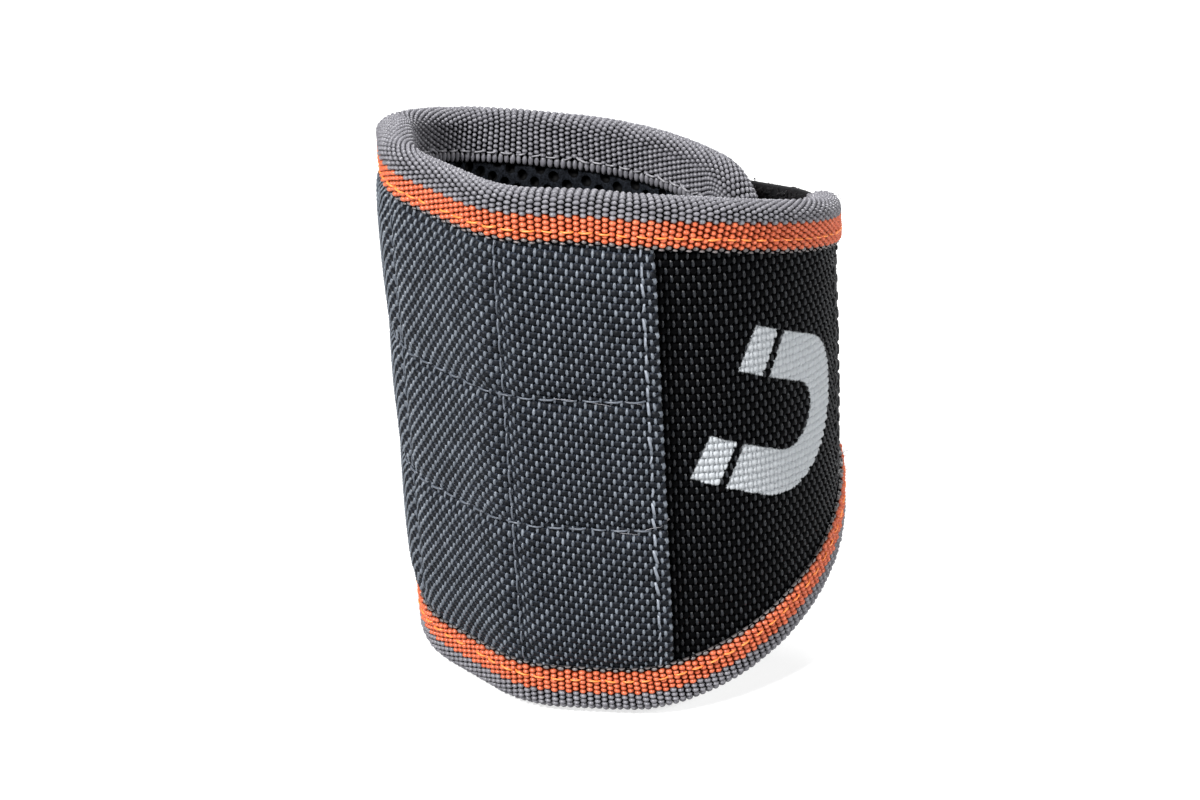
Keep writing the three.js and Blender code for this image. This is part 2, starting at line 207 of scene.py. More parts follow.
def planPath(startS, startPoint, startFacing, stretches):
    # knots of a path of straight and round stretches, each a length in mm and a turn in radians
    knots = [(startS, *startPoint, startFacing, 0)]
    for length, turn in stretches:
        s, x, y, facing, _ = knots[-1]
        bend = turn / length
        knots[-1] = (s, x, y, facing, bend)
        one = {"s": np.array([s]), "x": np.array([x]), "y": np.array([y]),
               "facing": np.array([facing]), "bend": np.array([bend])}
        endX, endY, endFacing = (float(v[0]) for v in planPoint(one, np.array([s + length])))
        knots.append((s + length, endX, endY, endFacing, 0))
    return dict(zip(("s", "x", "y", "facing", "bend"), np.array(knots).T))


def planPoint(path, s):
    # plan place and facing at each distance s; the facing turns from the front towards +X
    i = np.clip(np.searchsorted(path["s"], s, side="right") - 1, 0, len(path["s"]) - 1)
    past = s - path["s"][i]
    bend, first = path["bend"][i], path["facing"][i]
    facing = first + bend * past
    straight = bend == 0
    over = np.where(straight, 1, bend)
    x = np.where(straight, np.cos(first) * past, (np.sin(facing) - np.sin(first)) / over)
    y = np.where(straight, np.sin(first) * past, (np.cos(first) - np.cos(facing)) / over)
    return path["x"][i] + x, path["y"][i] + y, facing


def roll(path, s, z, depth):
    # flat cloth to its place in the cuff, in metres
    x, y, facing = planPoint(path, np.asarray(s, float))
    return np.stack([x + np.sin(facing) * depth, y - np.cos(facing) * depth, z + 0 * x], -1) * mm


def makeBand():
    turn = math.radians(bandPlan["columnTurn"])
    flat = (bandPlan["columnPitch"] - bandPlan["seamBend"], 0)
    seam, edge = (bandPlan["seamBend"], turn), (bandPlan["seamBend"] / 2, turn / 2)
    columns = [flat] + [seam, flat] * (bandPlan["columns"] - 1)
    stretches = [(tailLength, math.radians(bandPlan["tailTurn"])),
                 (heelLength, math.radians(bandPlan["heelTurn"])),
                 edge, *columns, edge, (wingLength, math.radians(bandPlan["wingTurn"]))]
    foldFacing = math.radians(bandPlan["panelFacing"]) + turn * bandPlan["columns"] / 2
    startFacing = foldFacing - sum(turned for _, turned in stretches[:-1])
    draft = planPath(tailEnd, (0, 0), startFacing, stretches)
    fold = roll(draft, np.array([panelHalf]), 0, bandPlan["foldDepth"])[0] / mm
    shift = hinge["wing_open"] / mm - Vector(fold)
    return planPath(tailEnd, (shift.x, shift.y), startFacing, stretches)


band = makeBand()


def ease(share):
    # a share from 0 to 1 with a soft start and end
    return share ** 2 * (3 - 2 * share)


def alongLine(a, b):
    # distance along a line of points
    return np.r_[0, np.cumsum(np.hypot(np.diff(a), np.diff(b)))]


def halfHeight(s):
    # half the cuff's height: level at the magnets, with a smooth fall along each end
    def fall(distance, length, drop):
        return drop * (1 - np.cos(np.pi * np.clip(distance / length, 0, 1))) / 2
    wing = fall(s - panelHalf + edgeTaper["wingLead"], edgeTaper["wingLength"], edgeTaper["wingDrop"])
    tail = fall(-s - panelHalf + edgeTaper["tailLead"], edgeTaper["tailLength"], edgeTaper["tailDrop"])
    return cuffTop - wing - tail


# Closure: the strap, the hook tape on its inner face and the loop tape on the tail, in mm and degrees
closure = {
    "strapThickness": 1.2, "strapBend": 8, "strapStack": 3.5, "strapHeelWrap": 28,
    "strapTip": 8, "strapDepth": -1.2, "strapLead": 0.15, "strapRounding": 0.5, "anchorLength": 14,
    "hookLength": 34, "hookMargin": 2, "hookFilm": 0.32, "hookRounding": 0.3, "layerGap": 0.2,
    "loopThickness": 0.8, "loopSink": 0.1, "loopRounding": 0.4, "loopHeelWrap": 50, "loopTailMargin": 14,
}
loopStart = tailEnd + closure["loopTailMargin"]
loopEnd = heelEnd + math.radians(closure["loopHeelWrap"]) * bandPlan["heelRadius"]
loopFace = closure["layerGap"] + closure["loopThickness"]


def makeStrapPath():
    # out of the wing's end, round a bend, straight across, then round the tail and its heel
    end = np.array([wingEnd])
    facing = float(planPoint(band, end)[2][0])
    ahead = Vector((math.cos(facing), math.sin(facing)))
    start = Vector(roll(band, end, 0, closure["strapDepth"])[0, :2]) / mm + ahead * closure["strapLead"]
    bend = closure["strapBend"]
    bendMiddle = start + Vector((-math.sin(facing), math.cos(facing))) * bend
    tailMiddle = Vector(roll(band, np.array([heelEnd]), 0, -bandPlan["tailRadius"])[0, :2]) / mm
    reach = tailMiddle - bendMiddle
    outer = bandPlan["tailRadius"] + closure["strapStack"]
    lean = math.asin((bend - outer) / reach.length)
    acrossFacing = (math.atan2(reach.y, reach.x) + lean) % (2 * math.pi)
    heelFacing = float(planPoint(band, np.array([heelEnd]))[2][0]) + 2 * math.pi
    heelTurn = math.radians(closure["strapHeelWrap"])
    return planPath(0, start, facing, [
        (bend * (acrossFacing - facing), acrossFacing - facing),
        (reach.length * math.cos(lean), 0),
        (outer * (heelFacing - acrossFacing), heelFacing - acrossFacing),
        ((bandPlan["heelRadius"] + closure["strapStack"]) * heelTurn, heelTurn),
    ])


strap = makeStrapPath()
strapLength = strap["s"][-1]

# Cloth that crosses a fold line, and the two bodies on either side of it: body, body, and where the turn runs
bends = {
    "wing": ("magnet_section", "wing", hinge["wing_open"],
             hinge["wing_open"] + Vector((0.978, 0.21, 0)) * 15 * mm),
    "tail": ("magnet_section", "tail", hinge["tail_open"],
             hinge["tail_open"] + Vector((0.45, 0.89, 0)) * 10 * mm),
    "strap": ("wing", "strap", hinge["strap_peel"],
              hinge["strap_peel"] + Vector((-0.6, 0.8, 0)) * 7 * mm),
}
print("band from", round(tailEnd, 1), "to", round(wingEnd, 1), "mm, strap", round(strapLength, 1), "mm")


# Materials
def newMaterial(name, **values):
    made = bpy.data.materials.new(name)
    made.use_nodes = True
    shader = made.node_tree.nodes["Principled BSDF"]
    for socket, value in values.items():
        shader.inputs[socket.replace("_", " ")].default_value = value
    return made, made.node_tree, shader


# Printed sign: a plain horseshoe magnet, in mm on the flat cloth
emblem = {
    "middle": (60, 1), "turn": 62, "bend": 9.5, "bar": 3.8, "leg": 15, "pole": 6, "gap": 0.8,
    "soft": 0.12, "ragged": 0.5, "grain": 0.4, "ink": "#b4b8bc",
}


def printEmblem(tree, place, cloth):
    # white screen ink, which fills the gaps between the yarns and has a slightly ragged edge
    grain = addNode(tree, "ShaderNodeTexNoise", {"Vector": place, "Scale": 1 / emblem["grain"], "Detail": 2})
    split = addNode(tree, "ShaderNodeSeparateXYZ", {"Vector": place})
    turn = math.radians(emblem["turn"])
    found = {"s": split.outputs["X"], "z": split.outputs["Y"], "grain": grain.outputs["Fac"]}
    # each step has a name, an operation and its values, which may be the names of earlier steps
    steps = (
        ("fromS", "SUBTRACT", "s", emblem["middle"][0]),
        ("fromZ", "SUBTRACT", "z", emblem["middle"][1]),
        ("partU", "MULTIPLY", "fromZ", math.sin(turn)),
        ("u", "MULTIPLY_ADD", "fromS", math.cos(turn), "partU"),
        ("partV", "MULTIPLY", "fromS", -math.sin(turn)),
        ("v", "MULTIPLY_ADD", "fromZ", math.cos(turn), "partV"),
        ("below", "MINIMUM", "v", 0.0),
        ("belowSquare", "MULTIPLY", "below", "below"),
        ("square", "MULTIPLY_ADD", "u", "u", "belowSquare"),
        ("around", "SQRT", "square"),
        ("fromBend", "SUBTRACT", "around", emblem["bend"]),
        ("aside", "ABSOLUTE", "fromBend"),
        ("bar", "SUBTRACT", "aside", emblem["bar"]),
        ("end", "SUBTRACT", "v", emblem["leg"]),
        ("fromPole", "SUBTRACT", "v", emblem["leg"] - emblem["pole"]),
        ("poleSide", "ABSOLUTE", "fromPole"),
        ("gap", "SUBTRACT", emblem["gap"], "poleSide"),
        ("solid", "MAXIMUM", "bar", "end"),
        ("outline", "MAXIMUM", "solid", "gap"),
        ("wander", "SUBTRACT", "grain", 0.5),
        ("edge", "MULTIPLY_ADD", "wander", emblem["ragged"], "outline"),
    )
    for name, operation, *values in steps:
        inputs = {n: found.get(value, value) for n, value in enumerate(values)}
        found[name] = addNode(tree, "ShaderNodeMath", inputs, operation=operation).outputs[0]
    inked = addNode(tree, "ShaderNodeMapRange", {"Value": found["edge"], "From Min": emblem["soft"],
                    "From Max": -emblem["soft"]})
    mixed = addNode(tree, "ShaderNodeMix", {"Factor": inked.outputs["Result"]}, data_type="RGBA")
    under, over = [socket for socket in mixed.inputs if socket.type == "RGBA"]
    tree.links.new(cloth, under)
    over.default_value = linear(emblem["ink"])
    return [socket for socket in mixed.outputs if socket.type == "RGBA"][0]


def paintSideLight(tree, colour, sides):
    # painted light: each float of yarn keeps its full colour on its crown and is painted at this share of it
    # down its sides, as painted shade in the gaps between floats where the share is below one, and as a
    # painted highlight where it is above one
    rise = addNode(tree, "ShaderNodeAttribute", attribute_name="rise")
    shade = addNode(tree, "ShaderNodeMapRange", {"Value": rise.outputs["Fac"], "From Min": 0.1,
                    "From Max": 0.75, "To Min": sides, "To Max": 1})
    dimmed = addNode(tree, "ShaderNodeVectorMath", {0: colour, "Scale": shade.outputs["Result"]},
                     operation="SCALE")
    return dimmed.outputs["Vector"]


def dressFibre(tree, shader, share, tones, stops, relief, sides=None, printedAt=None):
    # two tones by the share given, with painted light down the sides (shade where the share is below one, a
    # highlight where it is above), ink where printed, over a fine relief
    ramp = addNode(tree, "ShaderNodeValToRGB", {"Fac": share})
    for element, tone, stop in zip(ramp.color_ramp.elements, tones, stops):
        element.position = stop
        element.color = linear(tone)
    colour = ramp.outputs["Color"]
    if sides:
        colour = paintSideLight(tree, colour, sides)
    if printedAt:
        colour = printEmblem(tree, printedAt, colour)
    height, strength, depth = relief
    bump = addNode(tree, "ShaderNodeBump", {"Height": height, "Strength": strength, "Distance": depth * mm})
    tree.links.new(colour, shader.inputs["Base Color"])
    tree.links.new(bump.outputs["Normal"], shader.inputs["Normal"])


def ballisticNylon(name, dark, light, roughness, gloss, along, printed=False, sides=None):
    # coarse nylon yarn, air textured and woven: each float is a dull rounded bundle of filaments
    filament = 0.16         # mm, drawn coarse so that it shows
    squeeze = 0.12          # along the filaments, so that each runs long
    patches = 0.28          # for each mm
    made, tree, shader = newMaterial(name, Roughness=roughness, Specular_IOR_Level=gloss)
    place = addNode(tree, "ShaderNodeUVMap", uv_map="clothMm").outputs["UV"]
    stretch = (squeeze, 1, 1) if along else (1, squeeze, 1)
    lines = addNode(tree, "ShaderNodeMapping", {"Vector": place, "Scale": stretch})
    fibre = addNode(tree, "ShaderNodeTexNoise", {"Vector": lines.outputs["Vector"],
                    "Scale": 1 / filament, "Detail": 2, "Roughness": 0.6})
    patch = addNode(tree, "ShaderNodeTexNoise", {"Vector": place, "Scale": patches, "Detail": 4,
                    "Roughness": 0.65})
    both = addNode(tree, "ShaderNodeMath", {0: fibre.outputs["Fac"], 1: patch.outputs["Fac"]},
                   operation="ADD")
    share = addNode(tree, "ShaderNodeMapRange", {"Value": both.outputs["Value"], "From Min": 0.78,
                    "From Max": 1.24})
    dressFibre(tree, shader, share.outputs["Result"], (dark, light), (0, 1),
               (fibre.outputs["Fac"], 0.35, filament / 2), sides, place if printed else None)
    return made


def grosgrainYarn(name, dark, light, roughness=0.4, gloss=0.5, sides=None):
    # ribbed polyester tape: smooth plump warp floats with a soft highlight on each
    yarn, filament, lift = 1.1, 0.18, 0.05      # mm
    made, tree, shader = newMaterial(name, Roughness=roughness, Specular_IOR_Level=gloss)
    place = addNode(tree, "ShaderNodeTexCoord").outputs["Object"]
    patch = addNode(tree, "ShaderNodeTexNoise", {"Vector": place, "Scale": 1 / (yarn * mm), "Detail": 3,
                    "Roughness": 0.6})
    fibre = addNode(tree, "ShaderNodeTexNoise", {"Vector": place, "Scale": 1 / (filament * mm), "Detail": 2})
    dressFibre(tree, shader, patch.outputs["Fac"], (dark, light), (0.3, 0.7),
               (fibre.outputs["Fac"], 0.25, lift), sides)
    return made


def knittedFibre(name, dark, light, grain, strength, roughness=0.9, sheen=0.1):
    # matt faces, such as brushed loop, hook tape and foam: finely broken up, with a faint sheen
    made, tree, shader = newMaterial(name, Roughness=roughness, Sheen_Weight=sheen, Sheen_Roughness=0.5,
                                     Specular_IOR_Level=0.2)
    place = addNode(tree, "ShaderNodeTexCoord").outputs["Object"]
    fibre = addNode(tree, "ShaderNodeTexNoise", {"Vector": place, "Scale": 1 / (grain * mm), "Detail": 3,
                    "Roughness": 0.7})
    dressFibre(tree, shader, fibre.outputs["Fac"], (dark, light), (0.35, 0.68),
               (fibre.outputs["Fac"], strength, grain / 2))
    return made


# Lining: round holes on a slanting square lattice. The hole and its depth are shares of the pitch, the
# reach is in holes each way, and the other sizes are in mm.
lining = {
    "pitch": 2.85, "slant": 28, "depth": -4.2, "tuck": 4.2, "hole": 0.66, "holeDepth": 0.26,
    "wingGap": 2, "weld": 0.01, "reach": 90,
}


def spacerKnit():
    # black spacer knit: wiry strands with a dull shine round the holes, and painted shade inside each hole,
    # black over its sunk floor, where the hole is in shade
    strand = 0.34           # mm
    made, tree, shader = newMaterial("black_spacer_knit", Roughness=0.7, Specular_IOR_Level=0.1)
    place = addNode(tree, "ShaderNodeUVMap", uv_map="clothMm").outputs["UV"]
    lattice = addNode(tree, "ShaderNodeMapping", {"Vector": place, "Location": (0.5, 0.5, 0),
                      "Rotation": (0, 0, -math.radians(lining["slant"])),
                      "Scale": (1 / lining["pitch"],) * 3})
    cell = addNode(tree, "ShaderNodeVectorMath", {0: lattice.outputs["Vector"]}, operation="FRACTION")
    outwards = addNode(tree, "ShaderNodeVectorMath", {0: cell.outputs["Vector"], 1: (0.5, 0.5, 0)},
                       operation="DISTANCE")
    # painted shade: this share falls to nothing inside each hole, so the hole's floor is painted black
    knit = addNode(tree, "ShaderNodeMapRange", {"Value": outwards.outputs["Value"],
                   "From Min": lining["hole"] * 0.47, "From Max": lining["hole"] * 0.56})
    fibre = addNode(tree, "ShaderNodeTexNoise", {"Vector": place, "Scale": 1 / strand, "Detail": 3,
                    "Roughness": 0.7, "Distortion": 1.5})
    seen = addNode(tree, "ShaderNodeMath", {0: fibre.outputs["Fac"], 1: knit.outputs["Result"]},
                   operation="MULTIPLY").outputs["Value"]
    dressFibre(tree, shader, seen, ("#010102", "#2c3038"), (0.4, 0.66), (seen, 0.8, strand / 2))
    return made


def platedNickel():
    # nickel plated magnet blocks: bright metal with a faint tumbled haze
    haze = 900              # patches for each metre
    made, tree, shader = newMaterial("nickel_plate", Metallic=1)
    shader.inputs["Base Color"].default_value = linear("#b9bcc0")
    place = addNode(tree, "ShaderNodeTexCoord").outputs["Object"]
    tumbled = addNode(tree, "ShaderNodeTexNoise", {"Vector": place, "Scale": haze})
    rough = addNode(tree, "ShaderNodeMapRange", {"Value": tumbled.outputs["Fac"], "To Min": 0.2,
                    "To Max": 0.38})
    tree.links.new(rough.outputs["Result"], shader.inputs["Roughness"])
    return made


finishes = {
    # painted light: warp and weft of each cloth are one yarn, painted as lit and shaded copies. The warp is
    # painted lighter, a painted highlight, and the weft darker, painted shade. The slate ground between the
    # floats is near black, painted shade. The slate weft is painted paler down its sides, a painted highlight
    # on its edges, and the other yarns are painted darker down theirs, painted shade.
    "slateWeft": ballisticNylon("slate_ballistic_weft", "#090b0f", "#171a20", 0.5, 0.12, True, sides=6),
    "slateWarp": ballisticNylon("slate_ballistic_warp", "#444a53", "#787f88", 0.4, 0.45, False, sides=0.6),
    "slateShadeGround": ballisticNylon("slate_ballistic_ground", "#0e1013", "#16191d", 0.9, 0, True),
    "blackWeft": ballisticNylon("black_ballistic_weft", "#010102", "#040405", 0.6, 0.03, True, True, 0.5),
    "blackWarp": ballisticNylon("black_ballistic_warp", "#111317", "#25282d", 0.36, 0.36, False, True, 0.35),
    "blackGround": ballisticNylon("black_ballistic_ground", "#010101", "#020203", 0.9, 0, True, True),
    # painted shade: the tape yarns are painted darker down each float's sides, and the grounds under the ribs
    # are painted near black and dark orange, where the gaps between the ribs are in shade
    "greyTape": grosgrainYarn("grey_grosgrain_yarn", "#66656b", "#85848a", sides=0.16),
    "orangeTape": grosgrainYarn("orange_grosgrain_yarn", "#c05431", "#e0734d", sides=0.3),
    "selvage": grosgrainYarn("grey_selvage_yarn", "#5d5757", "#797373", sides=0.3),
    "tapeShadeGround": grosgrainYarn("grey_grosgrain_ground", "#060607", "#0b0b0c", 0.9, 0),
    "orangeShadeGround": grosgrainYarn("orange_grosgrain_ground", "#3c1003", "#521a06", 0.9, 0),
    "orangeThread": grosgrainYarn("orange_sewing_thread", "#ee7a33", "#fd9a50"),
    "greyThread": grosgrainYarn("grey_sewing_thread", "#7c7b80", "#a3a2a7"),
    "slateThread": grosgrainYarn("slate_sewing_thread", "#42474f", "#666c76"),
    "hemThread": grosgrainYarn("pale_slate_sewing_thread", "#636972", "#8e949e"),
    "blackThread": grosgrainYarn("black_sewing_thread", "#1a1a1c", "#2e2e31"),
    "spacerKnit": spacerKnit(),
    "loopPile": knittedFibre("black_brushed_loop", "#030304", "#111113", 0.3, 0.6),
    "strapWeb": knittedFibre("black_brushed_strap", "#08080a", "#1b1b1e", 0.3, 0.6),
    "hookFilm": knittedFibre("black_moulded_hook_nylon", "#141416", "#202024", 0.6, 0.15, 0.45, 0),
    "foam": knittedFibre("charcoal_foam", "#222326", "#37383c", 0.4, 0.8),
    "nickel": platedNickel(),
}
print(len(finishes), "finishes made")


# Small shapes that repeat, as meshes about one unit across that stand on z = 0
def ringFaces(rings, count):
    # quads between rings of points, one ring after another
    faces = []
    for first in range(0, (rings - 1) * count, count):
        for k in range(count):
            after = (k + 1) % count
            faces.append((first + k, first + after, first + count + after, first + count + k))
    return faces


def cappedRings(name, rings, tip):
    # rings of points, the last of them closed by one point
    count = len(rings[0])
    points = [point for ring in rings for point in ring] + [tip]
    last = (len(rings) - 1) * count
    cap = [(last + k, last + (k + 1) % count, len(points) - 1) for k in range(count)]
    return newMesh(name, points, ringFaces(len(rings), count) + cap)


def domeShape(name, count, levels):
    # a plump float of yarn: rings, each a width and a height, that rise to one top point
    turns = [2 * math.pi * k / count for k in range(count)]
    rings = [[(width / 2 * math.cos(t), width / 2 * math.sin(t), height) for t in turns]
             for width, height in levels]
    return cappedRings(name, rings, (0, 0, 1))


def tileShape(name, hole, depth):
    # a square of knit with a raised rim and a round hole sunk into it
    count = 12
    turns = [math.radians(45 + 360 / count * k) for k in range(count)]
    square = [0.5 / max(abs(math.cos(t)), abs(math.sin(t))) for t in turns]
    levels = [(square, 0), ([hole * 0.59] * count, 0.04), ([hole * 0.5] * count, -0.15 * depth),
              ([hole * 0.46] * count, -depth)]
    rings = [[(r * math.cos(t), r * math.sin(t), height) for r, t in zip(radii, turns)]
             for radii, height in levels]
    return cappedRings(name, rings, (0, 0, -depth))


def stitchShape(name):
    # one stitch along x: a thread that rises from the cloth, lies along it and dives back in
    count, steps, sink = 6, 5, 0.6
    points = []
    for a in range(steps):
        x = -0.5 + a / (steps - 1)
        lift = 1 - (2 * x) ** 4
        for k in range(count):
            t = 2 * math.pi * k / count
            points.append((x, 0.5 * math.cos(t), 0.5 * math.sin(t) + lift - sink))
    last = (steps - 1) * count
    ends = [tuple(range(count)), tuple(range(last, last + count))[::-1]]
    return newMesh(name, points, [face[::-1] for face in ringFaces(steps, count)] + ends)


def strandShape(name, path, thick):
    # a fine fibre of three sides along points in its own xz plane
    turns = [2 * math.pi * k / 3 for k in range(3)]
    path = np.array(path, float)
    ahead = np.gradient(path, axis=0)
    ahead /= np.linalg.norm(ahead, axis=1)[:, None]
    points = [(x - aheadZ * thick * math.cos(t), thick * math.sin(t), z + aheadX * thick * math.cos(t))
              for (x, z), (aheadX, aheadZ) in zip(path, ahead) for t in turns]
    return newMesh(name, points, ringFaces(len(path), len(turns)))


def makeRepeatTree():
    tree = bpy.data.node_groups.new("repeatShape", "GeometryNodeTree")
    sockets = [("Points", "Geometry"), ("Shape", "Object"), ("Size", "Vector"), ("Turn", "Float"),
               ("Size wander", "Float"), ("Turn wander", "Float"), ("Seed", "Int"), ("Finish", "Material")]
    for name, kind in sockets:
        tree.interface.new_socket(name, in_out="INPUT", socket_type="NodeSocket" + kind)
    tree.interface.new_socket("Repeated", in_out="OUTPUT", socket_type="NodeSocketGeometry")
    given = addNode(tree, "NodeGroupInput").outputs
    shape = addNode(tree, "GeometryNodeObjectInfo", {"Object": given["Shape"]})
    least = addNode(tree, "ShaderNodeMath", {0: 1.0, 1: given["Size wander"]}, operation="SUBTRACT")
    most = addNode(tree, "ShaderNodeMath", {0: 1.0, 1: given["Size wander"]}, operation="ADD")
    swell = addNode(tree, "FunctionNodeRandomValue", {2: least.outputs[0], 3: most.outputs[0],
                    "Seed": given["Seed"]}, data_type="FLOAT")
    size = addNode(tree, "ShaderNodeVectorMath", {0: given["Size"], "Scale": swell.outputs[1]},
                   operation="SCALE")
    back = addNode(tree, "ShaderNodeMath", {0: given["Turn wander"], 1: -1.0}, operation="MULTIPLY")
    sway = addNode(tree, "FunctionNodeRandomValue", {2: back.outputs[0], 3: given["Turn wander"],
                   "Seed": given["Seed"]}, data_type="FLOAT")
    turn = addNode(tree, "ShaderNodeMath", {0: given["Turn"], 1: sway.outputs[1]}, operation="ADD")
    spin = addNode(tree, "ShaderNodeCombineXYZ", {"Z": turn.outputs[0]})
    copies = addNode(tree, "GeometryNodeInstanceOnPoints", {"Points": given["Points"],
                     "Instance": shape.outputs["Geometry"], "Rotation": spin.outputs[0],
                     "Scale": size.outputs[0]})
    real = addNode(tree, "GeometryNodeRealizeInstances", {"Geometry": copies.outputs[0]})
    smooth = addNode(tree, "GeometryNodeSetShadeSmooth", {"Geometry": real.outputs[0]})
    done = addNode(tree, "GeometryNodeSetMaterial", {"Geometry": smooth.outputs[0],
                   "Material": given["Finish"]})
    addNode(tree, "NodeGroupOutput", {"Repeated": done.outputs[0]})
    return tree


repeatTree = makeRepeatTree()
shapeMeshes = {
    "float": domeShape("yarnFloat", 8, [(1, -0.15), (0.86, 0.5), (0.5, 0.87)]),
    "pillow": domeShape("yarnPillow", 8, [(1, -0.15), (0.8, 0.68)]),
    "dash": domeShape("yarnDash", 6, [(1, -0.15), (0.82, 0.62)]),
    "tile": tileShape("knitTile", lining["hole"], lining["holeDepth"]),
    "stitch": stitchShape("stitch"),
    "pile": strandShape("pileLoop", [(-0.35, -0.2), (-0.5, 0.45), (-0.1, 0.95), (0.45, 0.7), (0.3, -0.1)],
                        0.09),
    "hook": strandShape("hook", [(0, -0.1), (0, 0.6), (0.12, 0.95), (0.4, 1), (0.5, 0.75)], 0.1),
    "fuzz": strandShape("looseFibre", [(0, 0), (0.3, 0.35), (0.7, 0.45), (1.1, 0.9), (1.2, 1.3)], 0.035),
}
shapes = {kind: addObject(mesh.name, mesh) for kind, mesh in shapeMeshes.items()}


def lattice(a, b):
    # every pair of the two rows of numbers
    return [grid.ravel() for grid in np.meshgrid(a, b, indexing="ij")]


def flatPoints(u, v, height=0):
    # flat places as rows of along, across and height
    return np.stack([u.ravel(), v.ravel(), 0 * u.ravel() + height], -1)


def repeatShape(points, shape, size, finish, turn=0, wander=(0, 0), seed=1):
    # a copy of the shape at each flat point, as one plain flat mesh; wander is how far each copy may
    # stray, in its size as a share and in its turn in radians
    holder = addObject("points", newMesh("points", points.tolist(), []))
    modifier = holder.modifiers.new("repeat", "NODES")
    modifier.node_group = repeatTree
    values = {"Shape": shapes[shape], "Size": size, "Turn": turn, "Size wander": wander[0],
              "Turn wander": wander[1], "Seed": seed, "Finish": finishes[finish]}
    for item in repeatTree.interface.items_tree:
        if item.name in values:
            modifier[item.identifier] = values[item.name]
    graph = bpy.context.evaluated_depsgraph_get()
    made = bpy.data.meshes.new_from_object(holder.evaluated_get(graph))
    bpy.data.objects.remove(holder)
    return made


def flatGrid(along, across, finish, keep=None):
    # a flat sheet of quads on the given lines, in mm
    u, v = lattice(along, across)
    columns = len(across)
    i, j = lattice(range(len(along) - 1), range(columns - 1))
    corner = i * columns + j
    faces = np.stack([corner, corner + columns, corner + columns + 1, corner + 1], -1)
    if keep:
        faces = faces[keep(u, v)[faces].all(1)]
    used, faces = np.unique(faces, return_inverse=True)
    points = flatPoints(u, v)[used]
    mesh = newMesh("sheet", points.tolist(), faces.reshape(-1, 4).tolist(), finishes[finish])
    mesh.shade_smooth()
    return mesh


def pointsOf(mesh):
    flat = np.zeros(len(mesh.vertices) * 3, np.float32)
    mesh.vertices.foreach_get("co", flat)
    return flat.reshape(-1, 3)


def mapOnto(mesh, place, flip=False):
    # lays a flat mesh on the cuff: place takes along, across and height, and gives metres. It keeps the
    # flat places as UV maps and each point's height, as a share, as the attribute "rise", from which the
    # yarn finishes paint light and shade down each float's sides.
    flat = pointsOf(mesh).astype(float)
    corner = np.zeros(len(mesh.loops), np.int32)
    mesh.loops.foreach_get("vertex_index", corner)
    low, span = flat.min(0), np.ptp(flat, axis=0)
    for name, uv in (("clothMm", flat[:, :2]), ("OFBake", (flat[:, :2] - low[:2]) / span[:2])):
        layer = mesh.uv_layers.get(name) or mesh.uv_layers.new(name=name)
        layer.uv.foreach_set("vector", uv[corner].astype(np.float32).ravel())
    rise = (flat[:, 2] - low[2]) / max(span[2], 1e-6)
    mesh.attributes.new("rise", "FLOAT", "POINT").data.foreach_set("value", rise.astype(np.float32))
    mesh.vertices.foreach_set("co", place(*flat.T).astype(np.float32).ravel())
    if flip:
        mesh.flip_normals()
    mesh.update()
    return mesh


def weld(mesh, gap, turnOut=False):
    # joins points that lie closer than the gap, and turns the faces of a closed body outwards
    work = bmesh.new()
    work.from_mesh(mesh)
    bmesh.ops.remove_doubles(work, verts=work.verts, dist=gap)
    if turnOut:
        bmesh.ops.recalc_face_normals(work, faces=work.faces)
    work.to_mesh(mesh)
    work.free()


def joinMeshes(name, meshes):
    # one object of all the meshes
    parts = [addObject(name, mesh) for mesh in meshes]
    if len(parts) > 1:
        with bpy.context.temp_override(active_object=parts[0], object=parts[0], selected_objects=parts,
                                       selected_editable_objects=parts):
            bpy.ops.object.join()
    parts[0].name = parts[0].data.name = name
    return parts[0]


def settle(piece, slot, body=None, bend=None, replaces=()):
    # parents the finished piece to the body it follows, or only bakes its place where it crosses a fold, and
    # hides the solids it stands for
    if bend:
        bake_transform(piece)
    else:
        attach(piece, body)
    if replaces:
        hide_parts(*replaces)
    return piece


# Ballistic weave: floats of thick weft and slimmer warp in a checkerboard. The weft falls a little
# towards the wing, because the cuff is wrapped as a slight cone.
weave = {
    # pitches in mm, and the weft's fall for each mm along the band
    "slate": {"warpPitch": 0.8, "weftPitch": 1.14, "fall": 0.12},
    "black": {"warpPitch": 0.865, "weftPitch": 1.28, "fall": 0.18},
    # shape, then width in double warp pitches, length in weft pitches and height in mm
    "weft": ("pillow", 0.84, 1.05, 0.42),
    "warp": ("dash", 0.37, 1.2, 0.5),
    "wander": (0.06, 0.05),
    "reach": 140,           # yarns each way, more than any piece needs
}


def weaveYarns(name, shows, tone, seed, place, flip=False):
    # the floats of weft and warp wherever cloth shows, laid in place as one piece
    yarns = np.arange(-weave["reach"], weave["reach"] + 1)
    i, j = lattice(yarns, yarns)
    cloth = weave[tone]
    s = i * cloth["warpPitch"]
    z = j * cloth["weftPitch"] - cloth["fall"] * s
    shown = shows(s, z)
    meshes = []
    for parity, kind in enumerate(("weft", "warp")):
        pick = shown & ((i + j) % 2 == parity)
        shape, width, length, height = weave[kind]
        size = (width * 2 * cloth["warpPitch"], length * cloth["weftPitch"], height)
        mesh = repeatShape(flatPoints(s[pick], z[pick]), shape, size, tone + kind.capitalize(), 0,
                           weave["wander"], seed + parity)
        meshes.append(mapOnto(mesh, place, flip))
    return joinMeshes(name, meshes)


def foldedEdge(u, edge, radius):
    # cloth that turns under at an edge: place along, turn in radians, and drop below the face
    past = np.clip(u - edge, 0, None)
    turn = np.clip(past / radius, 0, np.pi)
    under = past - turn * radius
    return np.minimum(u, edge) + radius * np.sin(turn) - under, turn, radius * (1 - np.cos(turn))


